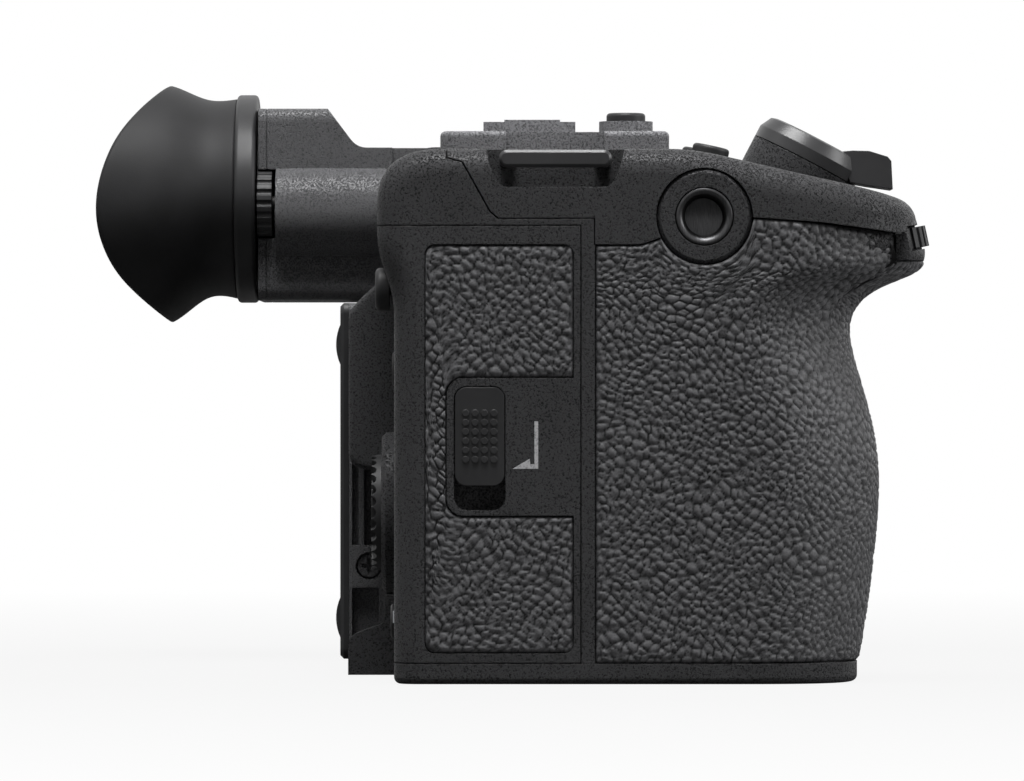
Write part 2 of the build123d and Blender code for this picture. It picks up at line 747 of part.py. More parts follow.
# Base plate, with the battery opening and the ledge under the monitor
def battery_door_plan(gap):
    """Outline of the battery door, grown by gap, with its hinge strip set back from the front."""
    x0, x1, x2 = battery_door_x0 - gap, battery_edge_x + 2.5 * gap, battery_hinge_x
    y0, y1, y2 = battery_door_y0 - gap, battery_hinge_y0 - gap, battery_door_y1 + gap
    Polygon((x0, y0), (x1, y0), (x1, y1), (x2, y1), (x2, y2), (x0, y2), align=None)


with BuildPart() as base_plate:
    with BuildSketch(level(0)) as base_sketch:
        with BuildLine():
            grip_plan(grip_stations[0][1] - 0.3, grip_near_depth, grip_side_x, grip_inner_x, split_y)
        make_face()
        with Locations(((grip_inner_x + left_side_x) / 2, (front_y + rear_y) / 2)):
            Rectangle(left_side_x - grip_inner_x, rear_y - front_y)
        with Locations(((grip_side_x + grip_inner_x) / 2, (split_y + rear_y) / 2)):
            Rectangle(grip_inner_x - grip_side_x, rear_y - split_y)
        far_corners = base_sketch.vertices().filter_by(lambda v: v.X > left_side_x - 0.1)
        fillet(far_corners, corner_r)
        near_corner = base_sketch.vertices().filter_by(
            lambda v: v.X < grip_side_x + 0.1 and v.Y > rear_y - 0.1
        )
        fillet(near_corner, near_corner_r)
    extrude(amount=base_t)
    fillet(base_plate.faces().sort_by(Axis.Z)[0].outer_wire().edges(), 0.9)
    block(-36.0, monitor_far_x, rear_y - 2, ledge_y, 0.0, ledge_t)
    with BuildSketch(side_on(-36.0)):
        with BuildLine():
            Spline(*ledge_line, tangents=[(0, 1), (0, 1)])
            Polyline(ledge_line[-1], (rear_y, ledge_line[-1][1]), (rear_y, 0), (ledge_y, 0), ledge_line[0])
        make_face()
    extrude(amount=monitor_near_x - 0.7 + 36.0)
    with BuildSketch(level(-1)):
        battery_door_plan(0.2)
    extrude(amount=battery_door_t + 0.05 + 1, mode=Mode.SUBTRACT)
    block(
        battery_hinge_x - 1, battery_hinge_x + battery_barrel_r + slip,
        battery_hinge_y0 - 0.2, battery_door_y1 + 0.2, -1, battery_door_t + 0.15, mode=Mode.SUBTRACT,
    )
    rod_y(
        battery_hinge_x, battery_hinge_z, battery_hinge_y0 - battery_stub - 0.2,
        battery_door_y1 + battery_stub + 0.2, battery_pin_r + run_gap, mode=Mode.SUBTRACT,
    )
    add(battery_bay.part, mode=Mode.SUBTRACT)
    rod_z(0, 0, -1, 10, insert_r + seat_gap, mode=Mode.SUBTRACT)
    for x, y in base_screws:
        rod_z(x, y, -1, screw_head_h + 0.1, screw_head_r + 0.1, mode=Mode.SUBTRACT)
        rod_z(x, y, -1, 10, screw_shank_r + seat_gap, mode=Mode.SUBTRACT)
finish(base_plate.part, "base_plate")

# Top deck: raised plate with a bay at its near edge and the seat of the accessory shoe
run_out_w = shoe_slot_w + 0.4
with BuildPart() as top_deck:
    block(deck_near_x, deck_far_x, deck_front_y, deck_rear_y, shoulder_z, deck_z)
    fillet(top_deck.edges().filter_by(Axis.Z), 2.0)
    fillet(top_deck.faces().sort_by(Axis.Z)[-1].outer_wire().edges(), deck_edge_r)
    block(
        deck_near_x - 1, deck_near_x + deck_bay_depth, deck_bay_y0, deck_bay_y1, shoulder_z - 1, 90,
        mode=Mode.SUBTRACT,
    )
    add(evf_notch.part, mode=Mode.SUBTRACT)
    add(left_strap_room, mode=Mode.SUBTRACT)
    seat_top_inserts()
    block(
        -shoe_half_w - seat_gap, shoe_half_w + seat_gap, shoe_y0 - seat_gap, shoe_y1,
        shoe_floor_z - shoe_plate_t, 90, mode=Mode.SUBTRACT,
    )
    block(-run_out_w / 2, run_out_w / 2, shoe_y1 - 1, 40, shoe_floor_z - 0.1, 90, mode=Mode.SUBTRACT)
    rod_z(rec_x, rec_y, deck_z - 0.2, rec_collar_z, rec_collar_r)
    rod_z(rec_x, rec_y, 50, 90, rec_r + 0.2, mode=Mode.SUBTRACT)
finish(top_deck.part, "top_deck")

# Accessory shoe: floor plate, side rails with lips and a front stop
with BuildPart() as shoe:
    with BuildSketch(face_on(shoe_y1)):
        with Locations((0, shoe_floor_z - shoe_plate_t / 2)):
            Rectangle(2 * shoe_half_w, shoe_plate_t)
        with Locations((0, (shoe_floor_z + shoe_top_z) / 2)):
            Rectangle(2 * shoe_half_w, shoe_top_z - shoe_floor_z)
            Rectangle(shoe_gap_w, shoe_top_z - shoe_floor_z + 1, mode=Mode.SUBTRACT)
        with Locations((0, shoe_floor_z + shoe_slot_h / 2)):
            Rectangle(shoe_slot_w, shoe_slot_h, mode=Mode.SUBTRACT)
    extrude(amount=shoe_y1 - shoe_y0)
    for side in (-1, 1):
        x_mid = side * (shoe_half_w + shoe_gap_w / 2) / 2
        half = (shoe_half_w - shoe_gap_w / 2) / 2
        block(x_mid - half, x_mid + half, shoe_y0 + 2.2, shoe_y1 - 3.0, shoe_top_z - 0.5, shoe_top_z + 0.3)
    block(
        -shoe_slot_w / 2, shoe_slot_w / 2, shoe_y0, shoe_y0 + 1.2, shoe_floor_z - 0.2,
        shoe_floor_z + shoe_slot_h + 0.2,
    )
finish(shoe.part, "shoe")


# Strap bars: a flat bar with rounded ends and two legs in each strap pocket
def strap_bar(side_x, inward, centre_y):
    """Flat bar along Y with a leg at each end that reaches the pocket's inner wall."""
    bar_x0 = side_x + inward * 0.1
    leg_y = strap_bar_len / 2 - strap_bar_h / 2
    with BuildPart() as bar:
        with BuildSketch(side_on(bar_x0)) as bar_face:
            with Locations((centre_y, strap_bar_z)):
                RectangleRounded(strap_bar_len, strap_bar_h, strap_bar_h / 2 - 0.1)
        extrude(bar_face.sketch, amount=inward * strap_bar_t)
        chamfer(bar.edges().group_by(Axis.X)[0 if inward > 0 else -1], 0.4)
        x0, x1 = sorted((bar_x0 + inward, side_x + inward * strap_pocket_depth))
        for end in (-1, 1):
            rod_x(centre_y + end * leg_y, strap_bar_z, x0, x1, strap_bar_h / 2 - 0.15)
    return bar.part


right_bar = strap_bar(grip_side_x, 1, strap_bar_y)
left_bar = strap_bar(left_side_x, -1, left_strap_y)
with BuildPart() as strap_bars:
    add(right_bar)
    add(left_bar)
finish(strap_bars.part, "strap_bars")


# Steel inserts with quarter-inch threads
def insert_at(plane, mouth):
    """Insert whose mouth lies on the plane and whose body runs against its normal."""
    with BuildPart() as body:
        disc_on(plane.offset(-insert_len), insert_r, insert_len)
        disc_on(plane.offset(-thread_depth), thread_r, thread_depth + 1, mode=Mode.SUBTRACT)
        if mouth:
            rim_edge = body.edges().filter_by(GeomType.CIRCLE).filter_by(
                lambda e: abs(e.radius - thread_r) < 0.01
            ).sort_by(Axis(plane.origin, plane.z_dir))[-1]
            chamfer(rim_edge, mouth)
    return body.part


side_insert = insert_at(Plane((grip_side_x, boss_y, boss_z), z_dir=(-1, 0, 0)), thread_mouth)
left_insert = insert_at(Plane((left_side_x, left_thread_y, left_thread_z), z_dir=(1, 0, 0)), thread_mouth)
top_inserts = [insert_at(Plane((x, y, deck_z), z_dir=(0, 0, 1)), thread_mouth) for x, y in top_threads]
tripod_insert = insert_at(Plane((0, 0, 0), z_dir=(0, 0, -1)), 0)
with BuildPart() as thread_inserts:
    add(side_insert)
    add(left_insert)
    add(top_inserts[0])
    add(top_inserts[1])
    add(tripod_insert)
finish(thread_inserts.part, "thread_inserts")

with BuildPart() as thread_boss:
    rod_x(boss_y, boss_z, grip_side_x, grip_side_x + boss_t, boss_r)
    chamfer(thread_boss.edges().group_by(Axis.X)[0], 0.5)
    rod_x(boss_y, boss_z, grip_side_x - 1, grip_side_x + boss_t + 1, insert_r + seat_gap, mode=Mode.SUBTRACT)
finish(thread_boss.part, "thread_boss")

# Lens mount ring with its three bayonet openings
with BuildPart() as mount_ring:
    rod_y(0, lens_z, mount_front_y, mount_back_y, mount_r)
    chamfer(mount_ring.edges().group_by(Axis.Y)[0], 0.5)
    rod_y(0, lens_z, -40, 40, throat_r, mode=Mode.SUBTRACT)
    for start in (35, 155, 275):
        with BuildSketch(face_on(mount_back_y + 1)):
            with BuildLine():
                arc = CenterArc((0, lens_z), bayonet_r, start, bayonet_slot_deg)
                Line((0, lens_z), arc @ 0)
                Line(arc @ 1, (0, lens_z))
            make_face()
        extrude(amount=mount_ring_t + 2, mode=Mode.SUBTRACT)
    cut_mount_holes(mount_front_y - 1, mount_front_y + screw_head_h + 0.1, screw_head_r + 0.05)
    cut_mount_holes(mount_front_y, mount_back_y + 1, screw_shank_r + seat_gap)
    rod_y(lock_x, lock_z, -40, 40, lock_r + run_gap, mode=Mode.SUBTRACT)
finish(mount_ring.part, "mount_ring")


# Cross-head screws of the lens mount and the base plate
def screw_at(plane):
    """Screw whose head top lies on the plane and whose shank runs against its normal."""
    with BuildPart() as screw:
        disc_on(plane.offset(-screw_head_h), screw_head_r, screw_head_h)
        disc_on(plane.offset(-screw_head_h - screw_shank_len), screw_shank_r, screw_shank_len)
        with BuildSketch(plane.offset(-0.5)) as cross:
            Rectangle(2.0, 0.45)
            Rectangle(0.45, 2.0)
        extrude(cross.sketch, amount=1, mode=Mode.SUBTRACT)
    return screw.part


mount_screws = [
    screw_at(
        Plane(
            (
                screw_circle_r * cos(radians(angle)),
                mount_front_y + 0.1,
                lens_z + screw_circle_r * sin(radians(angle)),
            ),
            z_dir=(0, -1, 0),
        )
    )
    for angle in mount_screw_angles
]
floor_screws = [screw_at(Plane((x, y, 0.1), z_dir=(0, 0, -1))) for x, y in base_screws]
with BuildPart() as case_screws:
    for screw in mount_screws + floor_screws:
        add(screw)
finish(case_screws.part, "case_screws")

# Contact block on the floor of the light tunnel, with its sprung pins
contact_r = chamber_r - seat_gap
with BuildPart() as contact_block:
    with BuildSketch(face_on(contact_y1)):
        with BuildLine():
            arc = CenterArc((0, lens_z), contact_r, 240, 60)
            Line((0, lens_z), arc @ 0)
            Line(arc @ 1, (0, lens_z))
        make_face()
        with Locations((0, lens_z)):
            Circle(contact_in_r, mode=Mode.SUBTRACT)
    extrude(amount=contact_y1 - contact_y0)
finish(contact_block.part, "contact_block")

with BuildPart() as contact_pins:
    for i in range(10):
        angle = radians(246.3 + 5.27 * i)
        pin_r = (contact_in_r + contact_r) / 2 - 0.6
        rod_y(
            pin_r * cos(angle), lens_z + pin_r * sin(angle), contact_y0 - contact_pin_h, contact_y0,
            contact_pin_r,
        )
finish(contact_pins.part, "contact_pins")

# Chassis plate behind the tunnel, sensor unit, cover glass and main board
chassis_back_y = tunnel_back_y + chassis_t
with BuildPart() as chassis:
    block(-30.0, 44.8, tunnel_back_y, chassis_back_y, 8.0, 66.0)
    block(
        -sensor_w / 2 - 0.6, sensor_w / 2 + 0.6, -40, 40, lens_z - sensor_h / 2 - 0.6,
        lens_z + sensor_h / 2 + 0.6, mode=Mode.SUBTRACT,
    )
    fillet(chassis.edges().filter_by(Axis.Y), 1.0)
finish(chassis.part, "chassis")

with BuildPart() as sensor_unit:
    block(
        -sensor_w / 2 - sensor_rim, sensor_w / 2 + sensor_rim, chassis_back_y, sensor_unit_back_y,
        lens_z - sensor_h / 2 - sensor_rim, lens_z + sensor_h / 2 + sensor_rim,
    )
    block(
        -sensor_w / 2 - 0.1, sensor_w / 2 + 0.1, -40, sensor_plane_y, lens_z - sensor_h / 2 - 0.1,
        lens_z + sensor_h / 2 + 0.1, mode=Mode.SUBTRACT,
    )
    for sx in (-1, 1):
        for sz in (-1, 1):
            rod_y(sx * 20.0, lens_z + sz * 14.0, sensor_unit_back_y, board_y, 1.5)
finish(sensor_unit.part, "sensor_unit")

with BuildPart() as sensor_glass:
    block(
        -sensor_w / 2, sensor_w / 2, sensor_plane_y - 1.2, sensor_plane_y, lens_z - sensor_h / 2,
        lens_z + sensor_h / 2,
    )
finish(sensor_glass.part, "sensor_glass")

with BuildPart() as main_board:
    block(-29.0, 44.0, board_y, board_y + board_t, 6.0, 60.0)
    for x0, x1, z0, z1, h in ((-20, -4, 30, 46, 1.6), (4, 18, 34, 48, 1.8), (24, 38, 12, 24, 2.4)):
        block(x0, x1, board_y + board_t, board_y + board_t + h, z0, z1)
finish(main_board.part, "main_board")

# Lens release button and the lock pin it draws back
with BuildPart() as lens_release:
    rod_y(release_x, release_z, front_y - 2.0, main_front_y + 0.1, release_r)
    fillet(lens_release.edges().group_by(Axis.Y)[0], 0.8)
    rod_y(release_x, release_z, main_front_y + 0.1, main_front_y + 1.1, release_flange_r)
finish(lens_release.part, "lens_release")

with BuildPart() as lock_pin:
    rod_y(lock_x, lock_z, mount_front_y - 1.2, front_y + 0.3, lock_r)
    fillet(lock_pin.edges().group_by(Axis.Y)[0], 0.5)
finish(lock_pin.part, "lock_pin")

# Card unit and its two cards
with BuildPart() as card_unit:
    block(bay_floor_x, card_unit_x1, card_unit_y0, card_unit_y1, card_unit_z0, card_unit_z1)
    card_z0 = (card_unit_z0 + card_unit_z1 - card_w) / 2
    for y in card_ys:
        block(
            bay_floor_x - 2, bay_floor_x + card_len, y - card_t / 2 - 0.15, y + card_t / 2 + 0.15,
            card_z0 - 0.15, card_z0 + card_w + 0.15, mode=Mode.SUBTRACT,
        )
finish(card_unit.part, "card_unit")

with BuildPart() as cards:
    for y in card_ys:
        block(
            bay_floor_x - 1.0, bay_floor_x - 1.0 + card_len, y - card_t / 2, y + card_t / 2,
            card_z0, card_z0 + card_w,
        )
    fillet(cards.edges().filter_by(Axis.Y), 0.8)
finish(cards.part, "cards")

# Card door: side plate that wraps the rear corner, with hinge barrels and recesses
inlay_floor_x = grip_side_x + inlay_t
latch_y, latch_z = (latch_y0 + latch_y1) / 2, (latch_low_z + latch_high_z) / 2
with BuildPart() as inlay_space:
    with BuildSketch(side_on(grip_side_x - 3)):
        with Locations(((inlay_y0 + inlay_y1) / 2, (inlay_z0 + inlay_z1) / 2)):
            RectangleRounded(inlay_y1 - inlay_y0, inlay_z1 - inlay_z0, 1.4)
        with Locations(((inlay_y0 + plate_y1) / 2 - 2, (plate_z0 + plate_z1) / 2)):
            RectangleRounded(plate_y1 - inlay_y0 + 4, plate_z1 - plate_z0, 2.3, mode=Mode.SUBTRACT)
    extrude(amount=3 + inlay_t)
with BuildPart() as door_space:
    block(grip_side_x - 1, grip_side_x + door_t, door_front_y, bulge_y + 1, base_t + seam, door_top_z)
    block(
        grip_side_x - 1, door_pin_x + 1.8, rear_y - door_t, bulge_y + 1, base_t + seam, door_top_z,
    )
    rod_z(door_pin_x, door_pin_y, base_t + seam, door_top_z, door_barrel_r)
with BuildPart() as card_door:
    add(near_rear.part)
    add(door_space.part, mode=Mode.INTERSECT)
    add(inlay_space.part, mode=Mode.SUBTRACT)
    with BuildSketch(side_on(grip_side_x - 1)):
        with Locations((latch_y, latch_z)):
            RectangleRounded(latch_y1 - latch_y0, latch_high_z - latch_low_z, latch_corner)
    extrude(amount=1 + latch_t + 0.05, mode=Mode.SUBTRACT)
    rod_z(door_pin_x, door_pin_y, 0, 90, door_pin_r + run_gap, mode=Mode.SUBTRACT)
    for z in hinge_arm_zs:
        z_half = hinge_arm_t / 2 + slip
        rod_z(door_pin_x, door_pin_y, z - z_half, z + z_half, hinge_room_r, mode=Mode.SUBTRACT)
finish(card_door.part, "card_door")

# Leather inlay of the card door
with BuildPart() as door_inlay:
    add(near_rear.part)
    with BuildSketch(side_on(grip_side_x - 3)):
        with Locations(((inlay_y0 + inlay_y1) / 2, (inlay_z0 + inlay_z1) / 2)):
            RectangleRounded(inlay_y1 - inlay_y0 - 0.2, inlay_z1 - inlay_z0 - 0.2, 1.3)
        with Locations(((inlay_y0 + plate_y1) / 2 - 2, (plate_z0 + plate_z1) / 2)):
            RectangleRounded(plate_y1 - inlay_y0 + 4.2, plate_z1 - plate_z0 + 0.2, 2.4, mode=Mode.SUBTRACT)
    extrude(amount=3 + inlay_t, mode=Mode.INTERSECT)
finish(door_inlay.part, "door_inlay")

# Door carrier: slide arms in the casing that hold the hinge pin
with BuildPart() as door_carrier:
    rod_z(door_pin_x, door_pin_y, base_t + 1.2, door_top_z - 1.0, door_pin_r)
    for z in hinge_arm_zs:
        block(
            door_pin_x - hinge_arm_w / 2, door_pin_x + hinge_arm_w / 2, door_pin_y - hinge_arm_len,
            door_pin_y, z - hinge_arm_t / 2, z + hinge_arm_t / 2,
        )
        rod_z(door_pin_x, door_pin_y, z - hinge_arm_t / 2, z + hinge_arm_t / 2, door_barrel_r - 0.4)
finish(door_carrier.part, "door_carrier")

# Door latch: slider with a field of raised dots
latch_proud = 0.1
with BuildPart() as door_latch:
    with BuildSketch(side_on(grip_side_x - latch_proud)):
        with Locations((latch_y, latch_high_z - 0.15 - latch_len / 2)):
            RectangleRounded(latch_y1 - latch_y0 - 0.3, latch_len, latch_corner - 0.15)
    extrude(amount=latch_proud + latch_t)
    with BuildSketch(side_on(grip_side_x - latch_proud - dot_h)):
        with Locations((latch_y, latch_high_z - 0.15 - latch_len / 2)):
            with GridLocations(dot_pitch_y, dot_pitch_z, 4, 6):
                Circle(dot_r)
    extrude(amount=dot_h + 0.1)
finish(door_latch.part, "door_latch")

# Battery and its door with hinge pin and latch
with BuildPart() as battery:
    block(battery_x0, battery_x1, battery_y0, battery_y1, battery_low_z, battery_high_z)
    fillet(battery.edges().filter_by(Axis.Z), 1.5)
finish(battery.part, "battery")

with BuildPart() as battery_door:
    with BuildSketch(level(0)) as door_plan:
        battery_door_plan(0)
        fillet(door_plan.vertices().filter_by(lambda v: v.X < battery_door_x0 + 0.1), 3.5)
    extrude(amount=battery_door_t)
    rod_y(battery_hinge_x, battery_hinge_z, battery_hinge_y0, battery_door_y1, battery_barrel_r)
    rod_y(
        battery_hinge_x, battery_hinge_z, battery_hinge_y0 - battery_stub, battery_door_y1 + battery_stub,
        battery_pin_r,
    )
    block(
        battery_latch_x0 - 0.15, battery_latch_x0 + battery_latch_len + battery_latch_travel + 0.15,
        battery_latch_y - battery_latch_half - 0.15, battery_latch_y + battery_latch_half + 0.15,
        -1, battery_latch_high_z + 0.1, mode=Mode.SUBTRACT,
    )
finish(battery_door.part, "battery_door")

with BuildPart() as battery_latch:
    block(
        battery_latch_x0, battery_latch_x0 + battery_latch_len, battery_latch_y - battery_latch_half,
        battery_latch_y + battery_latch_half, 0.1, battery_latch_high_z,
    )
    for i in range(3):
        rib_x = battery_latch_x0 + 1.2 + 1.4 * i
        block(rib_x, rib_x + 0.5, battery_latch_y - 2.4, battery_latch_y + 2.4, 0, 0.3, mode=Mode.SUBTRACT)
finish(battery_latch.part, "battery_latch")

# Connector block and the two hinged port covers
with BuildPart() as ports:
    for z0, z1 in port_bands:
        block(port_block_x, main_far_x, port_y0, port_y1, z0, z1)
    for y, z, dy, dz in ((11.0, 45.0, 8.0, 15.0), (20.5, 45.0, 4.0, 9.5), (10.5, 24.0, 6.5, 6.5)):
        block(main_far_x - 6, 90, y - dy / 2, y + dy / 2, z - dz / 2, z + dz / 2, mode=Mode.SUBTRACT)
    for y, z in ((19.5, 25.5), (19.5, 16.5), (10.5, 14.5)):
        rod_x(y, z, main_far_x - 6, 90, 1.8, mode=Mode.SUBTRACT)
finish(ports.part, "ports")

port_axis_x = left_side_x - 0.05 - port_cover_t / 2
port_axis_y = port_y0 + port_cover_t / 2
for name, (z0, z1) in zip(("lower_port_cover", "upper_port_cover"), port_bands):
    with BuildPart() as port_cover:
        block(
            port_axis_x - port_cover_t / 2, port_axis_x + port_cover_t / 2, port_axis_y, port_y1, z0, z1,
        )
        fillet(port_cover.edges().filter_by(Axis.X).group_by(Axis.Y)[-1], 1.0)
        rod_z(port_axis_x, port_axis_y, z0, z1, port_cover_t / 2)
    finish(port_cover.part, name)

# Viewfinder bracket: floor, two ears and the hinge pin between them
ear_x0, ear_x1 = evf_x - notch_half, evf_x + notch_half
with BuildPart() as evf_bracket:
    block(ear_x0, ear_x1, notch_y, rear_y, notch_z, notch_z + 1.6)
    for x0, x1 in ((ear_x0, ear_x0 + evf_ear_t), (ear_x1 - evf_ear_t, ear_x1)):
        block(x0, x1, notch_y, evf_hinge_y, notch_z, evf_hinge_z + evf_barrel_r)
        block(x0, x1, notch_y, rear_y, notch_z, evf_hinge_z)
        rod_x(evf_hinge_y, evf_hinge_z, x0, x1, evf_barrel_r)
    rod_x(evf_hinge_y, evf_hinge_z, ear_x0 - 1, ear_x1 + 1, evf_pin_r + seat_gap, mode=Mode.SUBTRACT)
finish(evf_bracket.part, "evf_bracket")

with BuildPart() as evf_pin:
    rod_x(evf_hinge_y, evf_hinge_z, ear_x0 + 0.5, ear_x1 - 0.5, evf_pin_r)
finish(evf_pin.part, "evf_pin")

# Viewfinder housing: hinge barrel, block with sloping hump and the side tube
arm_x0, arm_x1 = evf_x - evf_arm_half_w, evf_x + evf_arm_half_w
flat_z = evf_hinge_z + evf_barrel_r
with BuildPart() as evf_housing:
    with BuildSketch(side_on(evf_x - evf_half_w)):
        with BuildLine():
            Polyline(
                (evf_front_y, evf_low_z),
                (evf_rear_y, evf_low_z),
                (evf_rear_y, evf_high_z),
                (41.9, evf_high_z),
                (38.6, flat_z + 1.4),
            )
            Spline((38.6, flat_z + 1.4), (36.0, flat_z), tangents=[(-3.3, -4.4), (-1, 0)])
            Polyline((36.0, flat_z), (evf_front_y, flat_z), (evf_front_y, evf_low_z))
        make_face()
    extrude(amount=2 * evf_half_w)
    fillet(evf_housing.edges().filter_by(Axis.Y).group_by(Axis.Z)[0], 2.0)
    fillet(evf_housing.edges().filter_by(Axis.Y).group_by(Axis.Z)[-1], 2.0)
    with BuildSketch(face_on(evf_cap_y + 0.15)):
        with Locations((evf_x, (evf_low_z + evf_high_z) / 2)):
            Rectangle(2 * evf_half_w + 2, evf_high_z - evf_low_z + 2)
            RectangleRounded(2 * evf_half_w - 0.4, evf_high_z - evf_low_z - 0.4, 1.8, mode=Mode.SUBTRACT)
    extrude(amount=0.15, mode=Mode.SUBTRACT)
    rod_x(evf_hinge_y, evf_hinge_z, arm_x0, arm_x1, evf_barrel_r)
    block(
        arm_x0, arm_x1, evf_hinge_y, evf_front_y + 1, evf_hinge_z - evf_barrel_r,
        evf_hinge_z + evf_barrel_r,
    )
    rod_x(evf_hinge_y, evf_hinge_z, arm_x0 - 1, arm_x1 + 1, evf_pin_r + run_gap, mode=Mode.SUBTRACT)
    rod_y(tube_x, tube_z, tube_front_y, tube_rear_y, tube_r)
    rod_y(evf_x, evf_eye_z, optics_floor_y, 90, eyepiece_r + seat_gap, mode=Mode.SUBTRACT)
    rod_y(diopter_x, diopter_z, tube_rear_y, 90, diopter_r + slip, mode=Mode.SUBTRACT)
    rod_y(diopter_x, diopter_z, tube_rear_y - 3.3, 50, diopter_spindle_r + run_gap, mode=Mode.SUBTRACT)
finish(evf_housing.part, "evf_housing")

with BuildPart() as evf_display:
    block(evf_x - 6.8, evf_x + 6.8, optics_floor_y, optics_floor_y + 2.5, evf_eye_z - 5.1, evf_eye_z + 5.1)
finish(evf_display.part, "evf_display")

lens_dome_r = 30.0
with BuildPart() as eyepiece_lens:
    rod_y(evf_x, evf_eye_z, eyepiece_y0, eyepiece_y1, eyepiece_r)
    with Locations((evf_x, eyepiece_y1 - lens_dome_r, evf_eye_z)):
        Sphere(lens_dome_r, mode=Mode.INTERSECT)
finish(eyepiece_lens.part, "eyepiece_lens")

# Diopter dial with scalloped rim and its spindle
with BuildPart() as diopter_dial:
    rod_y(diopter_x, diopter_z, diopter_y, diopter_y + diopter_t, diopter_r)
    with BuildSketch(face_on(diopter_y + diopter_t + 1)):
        with Locations((diopter_x, diopter_z)):
            with PolarLocations(diopter_r + 0.15, diopter_teeth):
                Circle(0.5)
    extrude(amount=diopter_t + 2, mode=Mode.SUBTRACT)
    rod_y(diopter_x, diopter_z, tube_rear_y - 3.0, diopter_y + 0.2, diopter_spindle_r)
finish(diopter_dial.part, "diopter_dial")

# Eyecup frame: oval ring with a spigot on the housing
with BuildPart() as eyecup_frame:
    with BuildSketch(face_on(ring_y1)):
        with Locations((evf_x, evf_eye_z)):
            Ellipse(ring_half_w, ring_half_h)
    extrude(amount=ring_y1 - ring_y0)
    fillet(eyecup_frame.edges(), 0.6)
    rod_y(evf_x, evf_eye_z, evf_rear_y, ring_y0 + 1, spigot_r)
    rod_y(evf_x, evf_eye_z, 40, 60, eyepiece_r + 0.1, mode=Mode.SUBTRACT)
finish(eyecup_frame.part, "eyecup_frame")

# Eyecup: soft cup, flared upwards and level below, over the path of the monitor; its rim runs back
cup_stations = [
    (ring_y1, 0.0, 20.0, 14.9),
    (60.0, 0.0, 19.7, 14.8),
    (64.6, 0.4, 21.3, 16.2),
    (70.0, 0.85, 22.2, 16.65),
    (77.0, 1.2, 22.8, 17.0),
]
rim_line = [(64.8, 86.5), (68.7, 82.9), (72.5, 78.2), (74.8, 73.0), (75.8, 66.8), (74.6, 60.4), (71.8, 55.7),
            (67.5, 51.6), (63.6, 48.5)]


def cup_body(inset, first_y):
    """Loft through the cup's oval stations, taken in by inset, from first_y back."""
    with BuildPart() as body:
        for i, (y, drop, half_w, half_h) in enumerate(cup_stations):
            with BuildSketch(face_on(first_y if i == 0 else y)):
                with Locations((evf_x, evf_eye_z + drop)):
                    Ellipse(half_w - inset, half_h - inset)
        loft()
    return body.part


cup_outer = cup_body(0, ring_y1)
cup_inner = cup_body(cup_t, ring_y1 + 1.4)
with BuildPart() as eyecup:
    add(cup_outer)
    add(cup_inner, mode=Mode.SUBTRACT)
    rod_y(evf_x, evf_eye_z, 50, 60, eyepiece_r + 2.0, mode=Mode.SUBTRACT)
    with BuildSketch(side_on(evf_x - 40)):
        with BuildLine():
            Spline(*rim_line)
            Polyline(rim_line[-1], (50, 40), (50, 100), rim_line[0])
        make_face()
    extrude(amount=80, mode=Mode.INTERSECT)
finish(eyecup.part, "eyecup")

# Monitor hinge: two fixed knuckles with their pin
knuckles = ((arm_z0 - slip - knuckle_h, arm_z0 - slip), (arm_z1 + slip, arm_z1 + slip + knuckle_h))
with BuildPart() as monitor_hinge:
    for z0, z1 in knuckles:
        rod_z(monitor_pin_x, monitor_pin_y, z0, z1, monitor_barrel_r)
        block(
            monitor_pin_x - monitor_barrel_r, monitor_pin_x + 2.0, rear_y, monitor_pin_y, z0, z1,
        )
        fillet(monitor_hinge.edges().filter_by(Axis.Z).group_by(Axis.Y)[0], 0.4)
    rod_z(
        monitor_pin_x, monitor_pin_y, knuckles[0][0], knuckles[1][1], monitor_pin_r,
    )
finish(monitor_hinge.part, "monitor_hinge")

with BuildPart() as monitor_arm:
    rod_z(monitor_pin_x, monitor_pin_y, arm_z0, arm_z1, monitor_barrel_r)
    block(
        monitor_far_x, monitor_pin_x, monitor_pin_y - monitor_arm_t / 2, monitor_pin_y + monitor_arm_t / 2,
        arm_z0, arm_z1,
    )
    rod_z(monitor_pin_x, monitor_pin_y, 0, 90, monitor_pin_r + run_gap, mode=Mode.SUBTRACT)
finish(monitor_arm.part, "monitor_arm")

# Monitor module with grooves in its near edge, rear panel and screen
with BuildPart() as monitor_shell:
    block(
        monitor_near_x, monitor_far_x, monitor_front_y, monitor_seam_y, monitor_low_z, monitor_high_z,
    )
    fillet(monitor_shell.edges().filter_by(Axis.Y), 1.5)
    chamfer(monitor_shell.edges().group_by(Axis.Y)[0], 0.8)
    for y0, y1, z0, z1 in monitor_grooves:
        block(monitor_near_x - 1, monitor_near_x + 1.4, y0, y1, z0, z1, mode=Mode.SUBTRACT)
    rod_x(monitor_screw_y, monitor_screw_z, monitor_near_x - 1, monitor_near_x + 1.2, 1.9, mode=Mode.SUBTRACT)
    rod_x(monitor_screw_y, monitor_screw_z, monitor_near_x + 0.3, monitor_near_x + 1.3, 1.6)
    for half_y, half_z in ((1.0, 0.25), (0.25, 1.0)):
        block(
            monitor_near_x - 1, monitor_near_x + 0.8, monitor_screw_y - half_y, monitor_screw_y + half_y,
            monitor_screw_z - half_z, monitor_screw_z + half_z, mode=Mode.SUBTRACT,
        )
finish(monitor_shell.part, "monitor_shell")

